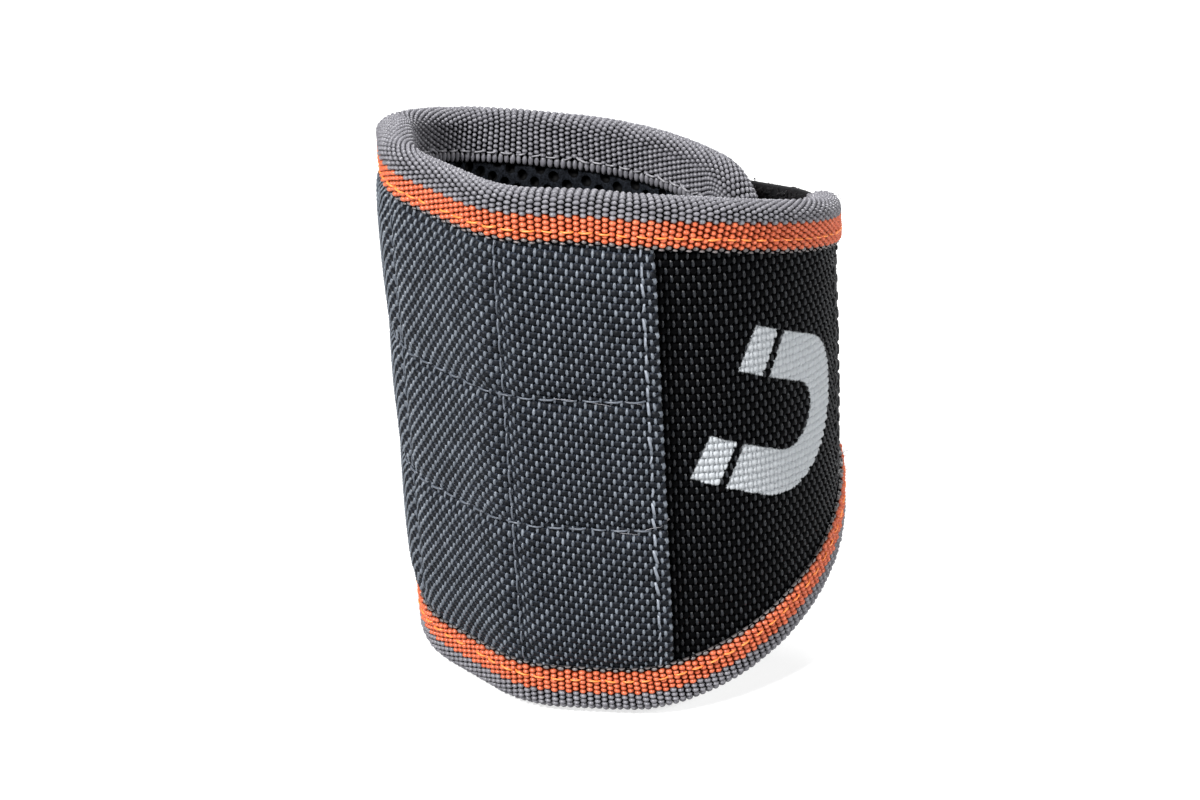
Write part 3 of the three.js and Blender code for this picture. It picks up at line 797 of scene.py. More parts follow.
# Magnet panel: the slate cover, quilted down between the magnets and folded under at both ends
panel = {
    "seamDepth": 0.25, "puff": 1.3, "rowPitch": 23, "rows": 3,
    "hemDepth": 0.75, "pucker": 0.14, "hemRadius": 0.4, "hemUnder": 3, "stitchFromEdge": 1.7,
    "stitchPitch": 3.3, "gridStep": 0.8, "tuck": 4.5, "seamEnd": 8,
    "tapeEdge": 8.2, "dip": 2.2, "tuckDepth": -0.15,    # where the cover goes under the binding
    "magnetSlope": (2.6, 3.0), "magnetRise": 1.0,    # mm from a seam to a magnet's edge, and its lift
}
quiltCloth = {
    "step": 1.1,            # mm, a part of a stitch, so that each seam is held stitch by stitch
    "stitchSteps": 3,
    "scale": 0.01,          # cloth metres for each mm
    "slack": 0.012, "frames": 24, "tension": 12, "bending": 0.4, "quality": 8,
}


def seamLines(pitch, count):
    # the lines between a row of equal pockets, from its middle
    return [(k - count / 2) * pitch for k in range(1, count)]


columnSeams = seamLines(bandPlan["columnPitch"], bandPlan["columns"])
rowSeams = seamLines(panel["rowPitch"], panel["rows"])


def magnetLift(s, z):
    # the least that the cover stands up over each magnet, down to nothing at the seams
    def slope(place, pitch, count, run):
        cell = np.clip(np.floor(place / pitch + count / 2), 0, count - 1) - (count - 1) / 2
        fromSeam = pitch / 2 - np.abs(place - cell * pitch)
        return np.sin(np.pi / 2 * np.clip(fromSeam / run, 0, 1))
    runS, runZ = panel["magnetSlope"]
    return (panel["magnetRise"] * slope(s, bandPlan["columnPitch"], bandPlan["columns"], runS)
            * slope(z, panel["rowPitch"], panel["rows"], runZ))


def simulateQuilt():
    # the cover, cut a little full, held at its stitches and let billow outwards between them
    step, scale = quiltCloth["step"], quiltCloth["scale"]
    edge = panelHalf - panel["stitchFromEdge"]
    lines = np.linspace(-edge, edge, round(2 * edge / step) + 1)
    rows = np.linspace(-cuffTop, cuffTop, round(2 * cuffTop / step) + 1)
    cloth = addObject("quilt_cloth", flatGrid(lines, rows, "slateShadeGround"))
    s, z = lattice(lines, rows)
    columnOf, rowOf = lattice(range(len(lines)), range(len(rows)))
    held = (np.abs(s) > edge - step / 2) | (np.abs(z) > cuffTop - panel["tapeEdge"])
    for place, seams, other in ((s, columnSeams, rowOf), (z, rowSeams, columnOf)):
        for seam in seams:
            held |= (np.abs(place - seam) < step / 2) & (other % quiltCloth["stitchSteps"] == 0)
    points = flatPoints(s, z) * scale
    cloth.data.vertices.foreach_set("co", points.astype(np.float32).ravel())
    cloth.data.update()
    cloth.vertex_groups.new(name="held").add(np.flatnonzero(held).tolist(), 1, "REPLACE")
    modifier = cloth.modifiers.new("cloth", "CLOTH")
    settings = modifier.settings
    settings.quality = quiltCloth["quality"]
    settings.tension_stiffness = settings.compression_stiffness = quiltCloth["tension"]
    settings.bending_stiffness = quiltCloth["bending"]
    settings.vertex_group_mass = "held"
    settings.shrink_min = -quiltCloth["slack"]
    modifier.collision_settings.use_collision = False
    modifier.point_cache.frame_start = 1
    modifier.point_cache.frame_end = quiltCloth["frames"]
    for number in range(1, quiltCloth["frames"] + 1):
        bpy.context.scene.frame_set(number)
    graph = bpy.context.evaluated_depsgraph_get()
    settled = bpy.data.meshes.new_from_object(cloth.evaluated_get(graph))
    bpy.data.objects.remove(cloth)
    bpy.context.scene.frame_set(1)
    billow = -pointsOf(settled)[:, 2] / scale
    print("quilt billows", round(float(billow.max()), 2), "mm")
    billow = np.clip(billow, 0, None) * panel["puff"] / billow.max()
    # the higher of the billow and the magnets, rounded where they meet
    rise = (billow ** 4 + magnetLift(s, z) ** 4) ** 0.25
    return lines, rows, rise.reshape(len(lines), len(rows))


quilt = simulateQuilt()


def quiltDepth(s, z):
    # the settled cloth between its stitches, and a firm double hem at each end
    lines, rows, billow = quilt
    i = np.clip((s - lines[0]) / (lines[1] - lines[0]), 0, len(lines) - 1.001)
    j = np.clip((z - rows[0]) / (rows[1] - rows[0]), 0, len(rows) - 1.001)
    a, b = i.astype(int), j.astype(int)
    x, y = i - a, j - b
    rise = ((1 - x) * ((1 - y) * billow[a, b] + y * billow[a, b + 1])
            + x * ((1 - y) * billow[a + 1, b] + y * billow[a + 1, b + 1]))
    hem = np.clip(1 - (panelHalf - np.abs(s)) / panel["stitchFromEdge"], 0, 1)
    pucker = panel["pucker"] * np.cos(2 * np.pi * z / panel["stitchPitch"])
    depth = panel["seamDepth"] + rise + (panel["hemDepth"] - panel["seamDepth"] + pucker) * np.sqrt(hem)
    tucked = np.clip((np.abs(z) - halfHeight(s) + panel["tapeEdge"] + panel["dip"]) / panel["dip"], 0, 1)
    return depth + (panel["tuckDepth"] - depth) * ease(tucked)


def onPanel(u, z, height):
    # flat cover to its place, with its hems turned under
    edge = panelHalf - panel["hemRadius"]
    along, turn, drop = foldedEdge(np.abs(u), edge, panel["hemRadius"])
    along = (along + height * np.sin(turn)) * np.sign(u)
    depth = quiltDepth(np.clip(u, -edge, edge), z) - drop + height * np.cos(turn)
    return roll(band, along, z, depth)


def makePanel():
    reach = panelHalf + panel["hemUnder"]
    def inside(s, z):
        return (np.abs(s) < reach) & (np.abs(z) < halfHeight(s) - panel["tuck"])
    lines = np.arange(-reach, reach, panel["gridStep"])
    rows = np.arange(-cuffTop, cuffTop, panel["gridStep"])
    cover = joinMeshes("panel_cover", [mapOnto(flatGrid(lines, rows, "slateShadeGround", inside), onPanel)])
    yarns = weaveYarns("panel_cover_yarns", inside, "slate", 10, onPanel)
    settle(cover, "panel_cloth", "magnet_section", replaces=("magnet_panel",))
    settle(yarns, "panel_cloth", "magnet_section")


def stitchRow(start, end, pitch):
    # flat stitch places from start to end, and the turn that lays each along the row
    start, end = np.array(start, float), np.array(end, float)
    length = np.linalg.norm(end - start)
    count = max(int(length / pitch), 1)
    steps = (np.arange(count) + 0.5) / count
    points = start + (end - start) * steps[:, None]
    return np.c_[points, 0 * steps], math.atan2(end[1] - start[1], end[0] - start[0])


def sewRows(name, rows, place, sew, slot, flip=False, **follow):
    # one piece of thread: a row of stitches from each start to its end
    meshes = []
    for seed, (start, end) in enumerate(rows):
        points, turn = stitchRow(start, end, sew["pitch"])
        size = (sew["length"], sew["thick"], sew["thick"])
        mesh = repeatShape(points, "stitch", size, sew["thread"], turn, sew["wander"], seed)
        meshes.append(mapOnto(mesh, place, flip))
    settle(joinMeshes(name, meshes), slot, **follow)


quilting = {"thread": "slateThread", "pitch": 3.3, "length": 2.7, "thick": 0.34, "wander": (0.12, 0.07)}
hemming = {"thread": "hemThread", "pitch": 2.9, "length": 2.0, "thick": 0.38, "wander": (0.3, 0.24)}


def sewPanel():
    top = cuffTop - panel["seamEnd"]
    edge = panelHalf - panel["stitchFromEdge"]
    seams = [((s, -top), (s, top)) for s in columnSeams] + [((-edge, z), (edge, z)) for z in rowSeams]
    hems = [((s, -top), (s, top)) for s in (-edge, edge)]
    def place(u, z, height):
        return onPanel(u, z, height + weave["weft"][3])
    sewRows("panel_quilting_thread", seams, place, quilting, "panel_cloth", body="magnet_section")
    sewRows("panel_hem_thread", hems, place, hemming, "panel_cloth", body="magnet_section")


makePanel()
sewPanel()
print("magnet panel made")

# Base cloth: black, from under the panel to the end of the wing and of the tail
shell = {
    "depth": -0.34, "underPanel": -1.3, "underRun": 1.5, "panelLap": 3, "patchLap": 2,
    "gridStep": 1.2, "tuck": 4.5, "hemRadius": 0.42, "hemUnder": 3,
}


def onShell(u, z, height):
    # flat base cloth to its place: it dips under the panel, and its hem is turned under at the wing's end
    edge = wingEnd - shell["hemRadius"]
    along, turn, drop = foldedEdge(u, edge, shell["hemRadius"])
    under = np.clip((panelHalf - np.abs(u)) / shell["underRun"], 0, 1)
    level = shell["depth"] + (shell["underPanel"] - shell["depth"]) * ease(under)
    return roll(band, along + height * np.sin(turn), z, level - drop + height * np.cos(turn))


def layerHeight(s, tuck):
    # half height of cloth that ends under the binding, with the tail's round corners
    radius = edgeTaper["tailCorner"] - tuck
    short = np.clip(radius - (s - tailEnd - tuck), 0, radius)
    return halfHeight(s) - tuck - (radius - np.sqrt(radius ** 2 - short ** 2))


def makeShell(side):
    wing = side == "wing"
    first, last = (0, wingEnd + shell["hemUnder"]) if wing else (tailEnd + shell["tuck"], 0)
    lap = shell["patchLap"]
    def inside(s, z):
        return (s >= first) & (s <= last) & (np.abs(z) < layerHeight(s, shell["tuck"]))
    def shows(s, z):
        bare = np.abs(s) > panelHalf - shell["panelLap"]
        patched = (s > loopStart + lap) & (s < loopEnd - lap) & (np.abs(z) < loopHalf - lap)
        return inside(s, z) & bare & ~patched
    lines = np.linspace(first, last, int((last - first) / shell["gridStep"]) + 1)
    rows = np.arange(-cuffTop, cuffTop, shell["gridStep"])
    cloth = joinMeshes(side + "_cloth", [mapOnto(flatGrid(lines, rows, "blackGround", inside), onShell)])
    yarns = weaveYarns(side + "_cloth_yarns", shows, "black", 20, onShell)
    settle(cloth, "shell_cloth", bend=bends[side],
           replaces=("wing_shell", "panel_backing") if wing else ("tail_shell",))
    settle(yarns, "shell_cloth", bend=bends[side])


makeShell("wing")
makeShell("tail")
print("base cloth made")


def onLining(u, z, height):
    # flat lining to its place, with its face towards the wrist
    return roll(band, u, z, lining["depth"] - height)


def makeLining(side):
    wing = side == "wing"
    cells = np.arange(-lining["reach"], lining["reach"] + 1)
    i, j = lattice(cells, cells)
    slant = math.radians(lining["slant"])
    s = (i * math.cos(slant) - j * math.sin(slant)) * lining["pitch"]
    z = (i * math.sin(slant) + j * math.cos(slant)) * lining["pitch"]
    first, last = (0, wingEnd - lining["wingGap"]) if wing else (tailEnd + lining["tuck"], 0)
    pick = (s >= first) & (s < last) & (np.abs(z) < layerHeight(s, lining["tuck"]))
    points = flatPoints(s[pick], z[pick])
    mesh = repeatShape(points, "tile", (lining["pitch"],) * 3, "spacerKnit", slant)
    weld(mesh, lining["weld"])
    knit = joinMeshes(side + "_spacer_lining", [mapOnto(mesh, onLining, flip=True)])
    settle(knit, "lining_mesh", bend=bends[side],
           replaces=("wing_lining", "panel_lining") if wing else ("tail_lining",))


makeLining("wing")
makeLining("tail")
print("lining made")

# Binding: ribbed tape folded over both edges, with an orange stripe on its outer face
binding = {
    "outerFace": 1.0, "innerFace": -4.9, "outerDrop": 8.2, "innerDrop": 9.3,
    "meetRun": 26,          # mm over which the lower tape takes the upper one's section at the tail's end
    "rimRise": {"top": 2.8, "bottom": 1.7}, "rimDrop": {"top": 0.4, "bottom": -0.6},
    "facePoints": 30, "rimPoints": 80, "edgePoints": 400, "cornerPoints": 60, "overrun": 5,
    "ribPitch": 1.17, "floatPitch": 0.9, "floatSize": (1.24, 0.88, 0.64), "floatSink": 0.58,
    "stripe": (0.5, 4.75), "selvageSize": (1.2, 0.78, 0.5), "selvageSink": 0.2, "selvageLap": 0.2,
    "loopSize": (1.12, 2.2, 0.62),      # the long loops of weft along the inner edge
    "wander": (0.07, 0.1),
    "groundStep": 1.5, "groundLines": 34, "groundLift": 0.06,
    "ribGap": 0.3, "capGap": 0.4,       # short of the wing's end
}
stripeSewing = {
    "thread": "orangeThread", "pitch": 2.95, "length": 2.1, "thick": 0.33, "wander": (0.16, 0.14),
    "fromEdge": 2.2, "endGap": 0.5,
}
innerSewing = {
    "thread": "greyThread", "pitch": 2.9, "length": 2.3, "thick": 0.34, "wander": (0.25, 0.4),
    "fromEdge": 2.2, "endGap": 3,
}
tapeStitch = {"start": 1, "cutGap": 1, "sink": 0.12}


def tapeSection(level, width=None):
    # the folded tape's section from its outer free edge, over the rim, to its inner free edge;
    # where the width is given, the inner edge takes up the difference
    outer, inner, count = binding["outerFace"], binding["innerFace"], binding["facePoints"]
    rise, rimDrop = binding["rimRise"][level], binding["rimDrop"][level]
    turn = np.linspace(0, np.pi, binding["rimPoints"])
    over = (outer + inner) / 2 + (outer - inner) / 2 * np.cos(turn)
    depth = np.r_[np.full(count, outer), over, np.full(count, inner)]
    drop = np.r_[np.linspace(binding["outerDrop"], rise, count, endpoint=False),
                 rise - (rise - rimDrop) * np.sin(turn),
                 np.linspace(binding["innerDrop"], rise, count, endpoint=False)[::-1]]
    across = alongLine(depth, drop)
    if width:
        drop[-count:] = np.linspace(rise, binding["innerDrop"] + width - across[-1], count + 1)[1:]
        across = alongLine(depth, drop)
    alongDepth, alongDrop = np.gradient(depth, across), np.gradient(drop, across)
    return {"across": across, "depth": depth, "drop": drop, "outDepth": -alongDrop, "outDrop": alongDepth}


sections = {"top": tapeSection("top")}
tapeWidth = sections["top"]["across"][-1]
sections["bottom"] = tapeSection("bottom", tapeWidth)


def edgeLine(side):
    # the upper edge in the flat cloth, from the panel's middle to the end of the wing or of the tail
    wing = side == "wing"
    if wing:
        s = np.linspace(0, wingEnd + binding["overrun"], binding["edgePoints"])
        z = halfHeight(s)
    else:
        corner = edgeTaper["tailCorner"]
        level = np.linspace(0, tailEnd + corner, binding["edgePoints"])
        turn = np.linspace(0, np.pi / 2, binding["cornerPoints"])[1:]
        height = float(halfHeight(np.array(tailEnd)))
        drop = np.linspace(height - corner, 0, binding["cornerPoints"])[1:]
        s = np.r_[level, tailEnd + corner * (1 - np.sin(turn)), np.full(len(drop), tailEnd)]
        z = np.r_[halfHeight(level), height - corner * (1 - np.cos(turn)), drop]
    along = alongLine(s, z)
    tangentS, tangentZ = np.gradient(s, along), np.gradient(z, along)
    inward = 1 if wing else -1
    meet = 0 * along if wing else np.clip(1 - (along[-1] - along) / binding["meetRun"], 0, 1)
    return {"along": along, "s": s, "z": z, "inS": inward * tangentZ, "inZ": -inward * tangentS,
            "meet": ease(meet)}


def cutAt(edge, gap):
    # distance along the wing's edge line to this far short of the wing's end
    return float(np.interp(wingEnd - gap, edge["s"], edge["along"]))


def onTape(edge, level):
    # two functions: flat tape to its place in the flat cloth, and to its place in the cuff
    sign = 1 if level == "top" else -1
    def flatPlace(u, v, height):
        def edgeAt(key):
            return np.interp(u, edge["along"], edge[key])
        def tapeAt(key):
            mine, met = [np.interp(v, sections[k]["across"], sections[k][key]) for k in (level, "top")]
            return mine + (met - mine) * edgeAt("meet")
        drop = tapeAt("drop") + height * tapeAt("outDrop")
        depth = tapeAt("depth") + height * tapeAt("outDepth")
        return edgeAt("s") + drop * edgeAt("inS"), sign * (edgeAt("z") + drop * edgeAt("inZ")), depth
    def place(u, v, height):
        return roll(band, *flatPlace(u, v, height))
    return flatPlace, place


def makeBinding(side, level):
    wing = side == "wing"
    name = f"{side}_{level}"
    edge = edgeLine(side)
    flatPlace, place = onTape(edge, level)
    flip = wing != (level == "top")
    length = edge["along"][-1]
    def inBand(u, v, gap=0):
        return flatPlace(u, v, 0 * u)[0] < wingEnd - gap
    columns, rows = round(length / binding["ribPitch"]), int(tapeWidth / binding["floatPitch"])
    i, j = lattice(np.arange(columns), np.arange(-1, rows))
    stagger = (i + (not wing) + (level == "bottom")) % 2 / 2
    u, v = (i + 0.5) * length / columns, (j + 0.5 + stagger) * binding["floatPitch"]
    low, high = binding["stripe"]
    inner = tapeWidth - binding["loopSize"][1]
    loopU, loopV = (np.arange(columns) + 0.5) * length / columns, np.full(columns, (inner + tapeWidth) / 2)
    # finish, size, sink, places along and across, and the least and most across
    layers = [("selvage", "selvageSize", binding["selvageSink"], u, v, -binding["selvageLap"], low),
              ("orangeTape", "floatSize", 0, u, v, low, high),
              ("greyTape", "floatSize", 0, u, v, high, inner),
              ("greyTape", "loopSize", 0, loopU, loopV, inner, tapeWidth)]
    meshes = []
    for seed, (finish, size, sink, along, across, least, most) in enumerate(layers):
        pick = inBand(along, across, binding["ribGap"]) & (across >= least) & (across < most)
        points = flatPoints(along[pick], across[pick], -binding["floatSink"] - sink)
        mesh = repeatShape(points, "float", binding[size], finish, 0, binding["wander"], seed)
        meshes.append(mapOnto(mesh, place, flip))
    ribs = joinMeshes(name + "_binding_ribs", meshes)
    # painted shade: the ground under the ribs, and the cap over the wing's cut end, are painted near black
    # and dark orange where they lie in shade between and behind the ribs
    lines = np.linspace(0, length, int(length / binding["groundStep"]) + 1)
    across = np.linspace(0, tapeWidth, binding["groundLines"])
    ground = flatGrid(lines, across, "tapeShadeGround", inBand)
    ground.materials.append(finishes["orangeShadeGround"])
    for face in ground.polygons:
        face.material_index = int(low < face.center.y < high)
    def onGround(u, v, height):
        return place(u, v, height - binding["floatSink"] + binding["groundLift"])
    grounds = [mapOnto(ground, onGround, flip)]
    if wing:
        end = np.full(len(across), cutAt(edge, binding["capGap"]))
        rim = onGround(end, across, 0 * across).tolist()
        grounds.append(newMesh("cap", rim, [tuple(range(len(rim)))], finishes["tapeShadeGround"]))
    tape = joinMeshes(name + "_binding", grounds)
    nodes = [f"wing_binding_{level}", f"panel_binding_{level}"] if wing else []
    if not wing and level == "top":
        nodes = ["tail_binding"]
    settle(tape, "binding_tape", bend=bends[side], replaces=nodes)
    settle(ribs, "binding_tape", bend=bends[side])
    sewnTo = cutAt(edge, tapeStitch["cutGap"]) if wing else length
    def onFace(u, v, height):
        return place(u, v, height - tapeStitch["sink"])
    for part, sew, at in (("stripe", stripeSewing, stripeSewing["fromEdge"]),
                          ("inner", innerSewing, tapeWidth - innerSewing["fromEdge"])):
        row = ((tapeStitch["start"], at), (sewnTo - sew["endGap"], at))
        sewRows(f"{name}_{part}_stitching", [row], onFace, sew, "binding_tape", flip, bend=bends[side])


for side in ("wing", "tail"):
    for level in ("top", "bottom"):
        makeBinding(side, level)
print("binding made, tape", round(tapeWidth, 1), "mm wide")


# Strap, hook pad, loop patch and foam: flat bodies with rounded edges, lofted along a path
def makeSlab(name, finish, places, halfWidths, inner, outer, rounding, columns=12):
    # a closed body from a ring of points round a rounded flat section at each place (x, y, facing)
    turn = np.linspace(-np.pi / 2, np.pi / 2, 6)    # round each long edge
    back = turn[::-1]
    thick = (outer - inner) / 2
    bulge = min(rounding, thick)
    depth = np.r_[np.full(columns, outer), inner + thick + thick * np.sin(back),
                  np.full(columns, inner), inner + thick + thick * np.sin(turn)]
    points = []
    for (x, y, facing), half in zip(places, halfWidths):
        flat = np.linspace(-half + bulge, half - bulge, columns)
        z = np.r_[flat, half - bulge + bulge * np.cos(back), flat[::-1], -half + bulge - bulge * np.cos(turn)]
        points.append(np.stack([x + math.sin(facing) * depth, y - math.cos(facing) * depth, z], -1) * mm)
    count, last = len(depth), (len(points) - 1) * len(depth)
    faces = ringFaces(len(points), count) + [tuple(range(count)), tuple(range(last, last + count))]
    mesh = newMesh(name, np.concatenate(points).tolist(), faces, finishes[finish])
    weld(mesh, mm / 1000, turnOut=True)
    mesh.shade_smooth()
    return addObject(name, mesh)


def placesOn(path, stations, depth=0):
    # plan places and facings along a path
    x, y, facing = planPoint(path, np.asarray(stations, float))
    return np.stack([x + np.sin(facing) * depth, y - np.cos(facing) * depth, facing], -1)


def tipStations(first, end, radius, count, tipCount):
    # stations along a slab, closer and closer towards its blunt tip
    turn = np.linspace(0, np.pi / 2, tipCount)[1:]
    return np.r_[np.linspace(first, end - radius, count), end - radius * (1 - np.sin(turn))]


def tipped(stations, end, half, radius):
    # half widths that round off to a blunt tip at the end
    short = np.clip(radius - (end - stations), 0, radius)
    return half - radius + np.sqrt(radius ** 2 - short ** 2)


def makeStrap():
    anchor = np.linspace(wingEnd - closure["anchorLength"], wingEnd, 10)[:-1]
    free = tipStations(0, strapLength, closure["strapTip"], 40, 10)
    places = np.r_[placesOn(band, anchor, closure["strapDepth"]), placesOn(strap, free)]
    widths = np.r_[np.full(len(anchor), strapHalf), tipped(free, strapLength, strapHalf, closure["strapTip"])]
    web = makeSlab("strap_webbing", "strapWeb", places, widths, -closure["strapThickness"], 0,
                   closure["strapRounding"])
    settle(web, "strap_web", bend=bends["strap"], replaces=("strap_anchor", "strap_web"))


# The hook tape lies on the strap's inner face, and its end follows the strap's tip
hookStart, hookEnd = strapLength - closure["hookLength"], strapLength - closure["hookMargin"]
hookTip = closure["strapTip"] - closure["hookMargin"]
hookTop = -closure["strapThickness"] - closure["layerGap"]


def makeHookPad():
    stations = tipStations(hookStart, hookEnd, hookTip, 16, 8)
    widths = tipped(stations, hookEnd, hookHalf, hookTip)
    pad = makeSlab("hook_tape", "hookFilm", placesOn(strap, stations), widths,
                   hookTop - closure["hookFilm"], hookTop, closure["hookRounding"])
    settle(pad, "hook_film", "strap", replaces=("hook_pad",))


def makeLoopPatch():
    stations = np.linspace(loopStart, loopEnd, 40)
    patch = makeSlab("loop_tape", "loopPile", placesOn(band, stations), np.full(len(stations), loopHalf),
                     closure["layerGap"], loopFace - closure["loopSink"], closure["loopRounding"])
    settle(patch, "loop_pile", "tail", replaces=("loop_patch",))


foamLayer = {"top": -2.1, "bottom": -3.2, "tuck": 4.6, "rounding": 0.4, "anchorGap": 0.4}


def makeFoam(side):
    wing = side == "wing"
    anchorEnd = wingEnd - closure["anchorLength"] - foamLayer["anchorGap"]
    stations = np.linspace(0, anchorEnd, 60) if wing else np.linspace(tailEnd + foamLayer["tuck"], 0, 60)
    core = makeSlab(side + "_foam_core", "foam", placesOn(band, stations),
                    layerHeight(stations, foamLayer["tuck"]), foamLayer["bottom"], foamLayer["top"],
                    foamLayer["rounding"])
    settle(core, "foam", bend=bends[side], replaces=("wing_foam", "panel_foam") if wing else ("tail_foam",))


makeStrap()
makeHookPad()
makeLoopPatch()
makeFoam("wing")
makeFoam("tail")
print("strap, patch and foam made")

# Pile on the strap and the patch, hooks on the pad, and the thread that holds them
pile = {
    "perSquare": 1.6, "size": (0.9, 0.9, 0.6), "wander": (0.35, 3.1), "margin": 0.3, "hookGap": 1,
    "loopSize": (0.75, 0.75, 0.3), "loopMargin": 0.4, "loopSink": 0.15,
}
hooks = {"pitch": 1.25, "row": 1.6, "size": (0.55, 0.8, 0.62), "start": 1, "tipGap": 0.8, "sideGap": 0.5}
tapeSewing = {
    "thread": "blackThread", "pitch": 2.8, "length": 2.2, "thick": 0.4, "wander": (0.06, 0.04),
    "loopMargin": 2, "hookMargin": 1.5, "hookTip": 6, "lift": 0.1,
    "anchorMargin": 2, "anchorSide": 5, "anchorLift": 0.05,
}


def scatter(first, last, half, seed):
    # evenly loose places over a stretch of tape: a lattice with each place moved a little
    step = pile["perSquare"] ** -0.5
    u, v = lattice(np.arange(first, last, step), np.arange(-half, half, step))
    loose = np.random.default_rng(seed).uniform(-0.5, 0.5, (2, u.size)) * step
    return flatPoints(u + loose[0], v + loose[1])


def faceOf(path, depth, outwards=1):
    # flat tape to its place on a face of the strap or of the band
    def place(u, v, height):
        return roll(path, u, v, depth + outwards * height)
    return place


def inTip(points, end, half, radius):
    # the points that lie inside a blunt tip
    return points[np.abs(points[:, 1]) < tipped(points[:, 0], end, half, radius) - pile["margin"]]


def makePile():
    margin, loopMargin = pile["margin"], pile["loopMargin"]
    outside = scatter(margin, strapLength - margin, strapHalf, 1)
    outside = inTip(outside, strapLength, strapHalf, closure["strapTip"])
    inside = scatter(margin, hookStart - pile["hookGap"], strapHalf - margin, 2)
    onPatch = scatter(loopStart + loopMargin, loopEnd - loopMargin, loopHalf - loopMargin, 3)
    outer = repeatShape(outside, "pile", pile["size"], "strapWeb", 0, pile["wander"], 1)
    inner = repeatShape(inside, "pile", pile["size"], "strapWeb", 0, pile["wander"], 2)
    loops = repeatShape(onPatch, "pile", pile["loopSize"], "loopPile", 0, pile["wander"], 3)
    meshes = [mapOnto(outer, faceOf(strap, 0)),
              mapOnto(inner, faceOf(strap, -closure["strapThickness"], -1), flip=True)]
    settle(joinMeshes("strap_pile", meshes), "strap_web", bend=bends["strap"])
    loops = mapOnto(loops, faceOf(band, loopFace - pile["loopSink"]))
    settle(joinMeshes("loop_pile", [loops]), "loop_pile", "tail")
    half = hookHalf - hooks["sideGap"]
    u, v = lattice(np.arange(hookStart + hooks["start"], hookEnd - hooks["tipGap"], hooks["pitch"]),
                   np.arange(-hookHalf + hooks["start"], half, hooks["row"]))
    onPad = inTip(flatPoints(u, v), hookEnd, half, hookTip)
    stems = repeatShape(onPad, "hook", hooks["size"], "hookFilm")
    stems = mapOnto(stems, faceOf(strap, hookTop - closure["hookFilm"], -1), flip=True)
    settle(joinMeshes("hook_stems", [stems]), "hook_film", "strap")


def frameRows(first, last, half):
    # the four rows of a stitched frame
    corners = [(first, -half), (last, -half), (last, half), (first, half)]
    return list(zip(corners, corners[1:] + corners[:1]))


def sewClosure():
    margin = tapeSewing["loopMargin"]
    rows = frameRows(loopStart + margin, loopEnd - margin, loopHalf - margin)
    sewRows("loop_patch_stitching", rows, faceOf(band, loopFace + tapeSewing["lift"]), tapeSewing,
            "loop_pile", body="tail")
    margin = tapeSewing["hookMargin"]
    rows = frameRows(hookStart + margin, hookEnd - tapeSewing["hookTip"], hookHalf - margin)
    sewRows("hook_pad_stitching", rows, faceOf(strap, tapeSewing["lift"]), tapeSewing, "strap_web",
            body="strap")
    first = wingEnd - closure["anchorLength"] + tapeSewing["anchorMargin"]
    last, half = wingEnd - tapeSewing["anchorMargin"], strapHalf - tapeSewing["anchorSide"]
    rows = frameRows(first, last, half) + [((first, -half), (last, half)), ((first, half), (last, -half))]
    sewRows("strap_anchor_stitching", rows, faceOf(band, tapeSewing["anchorLift"]), tapeSewing, "shell_cloth",
            body="wing")


facing = {
    "length": 9, "endGap": 0.25, "top": -2.55, "bottom": -4.35, "inset": 1.2, "rounding": 0.8, "tuck": 5,
    "yarnGap": 0.2, "yarnSink": 0.05,
}


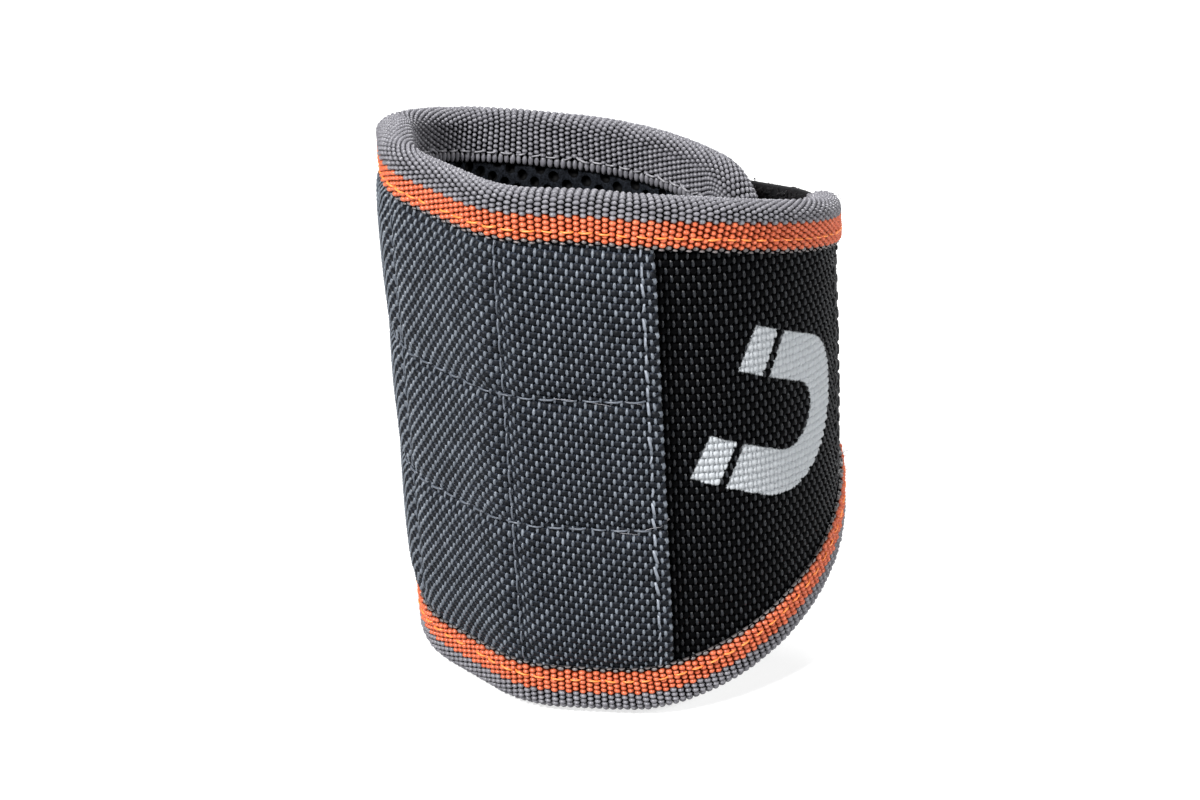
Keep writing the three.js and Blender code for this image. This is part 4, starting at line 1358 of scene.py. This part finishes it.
def makeFacing():
    # a strip of the black cloth folded over the end of the wing's lining, under the strap
    stations = np.linspace(wingEnd - facing["length"], wingEnd - facing["endGap"], 12)
    strip = makeSlab("wing_end_facing", "blackGround", placesOn(band, stations),
                     halfHeight(stations) - facing["inset"], facing["bottom"], facing["top"],
                     facing["rounding"], 24)
    def shows(s, z):
        within = (s > stations[0] + facing["yarnGap"]) & (s < stations[-1] - facing["yarnGap"])
        return within & (np.abs(z) < halfHeight(s) - facing["tuck"])
    inwards = faceOf(band, facing["bottom"] + facing["yarnSink"], -1)
    yarns = weaveYarns("wing_end_facing_yarns", shows, "black", 40, inwards, flip=True)
    settle(strip, "shell_cloth", body="wing")
    settle(yarns, "shell_cloth", body="wing")


cutEnd = {
    "perTape": 34, "size": (0.9, 0.9, 0.7), "wander": (0.5, 1.1), "endGap": 0.5, "spread": 0.4, "sink": 0.25,
}


def makeCutEnds():
    # fine broken fibres where the tape was cut at the end of the wing
    edge = edgeLine("wing")
    loose = np.random.default_rng(5).uniform(0, 1, (cutEnd["perTape"], 2))
    points = flatPoints(cutAt(edge, cutEnd["endGap"]) - cutEnd["spread"] * loose[:, 0],
                        loose[:, 1] * tapeWidth, -cutEnd["sink"])
    for seed, level in ((3, "top"), (1, "bottom")):
        mesh = repeatShape(points, "fuzz", cutEnd["size"], "greyThread", 0, cutEnd["wander"], seed)
        mapOnto(mesh, onTape(edge, level)[1], level == "bottom")
        settle(joinMeshes(f"wing_{level}_cut_fibres", [mesh]), "binding_tape", body="wing")


seamThreads = {
    "places": [(31, 11.7), (26, 11.3), (33, -11.3), (29, -11.8), (20, 11.8)], "height": 0.55,
    "size": (2.6, 1.4, 0.35), "wander": (0.3, 0.35),
}


def makeSeamThreads():
    # a few pale thread ends left standing at the panel's cross seams
    s, z = np.array(seamThreads["places"], float).T
    mesh = repeatShape(flatPoints(s, z, seamThreads["height"]), "fuzz", seamThreads["size"], "greyThread", 0,
                       seamThreads["wander"], 8)
    settle(joinMeshes("panel_thread_ends", [mapOnto(mesh, onPanel)]), "panel_cloth", body="magnet_section")


def plateMagnets():
    # the magnets keep their CAD shape
    for name, node in frame["nodes"].items():
        if name.startswith("magnet_row"):
            node.data.materials.clear()
            node.data.materials.append(finishes["nickel"])


makePile()
sewClosure()
makeFacing()
makeCutEnds()
makeSeamThreads()
plateMagnets()
for shape in shapes.values():
    bpy.data.objects.remove(shape)
print("pile, hooks, thread and magnets made")
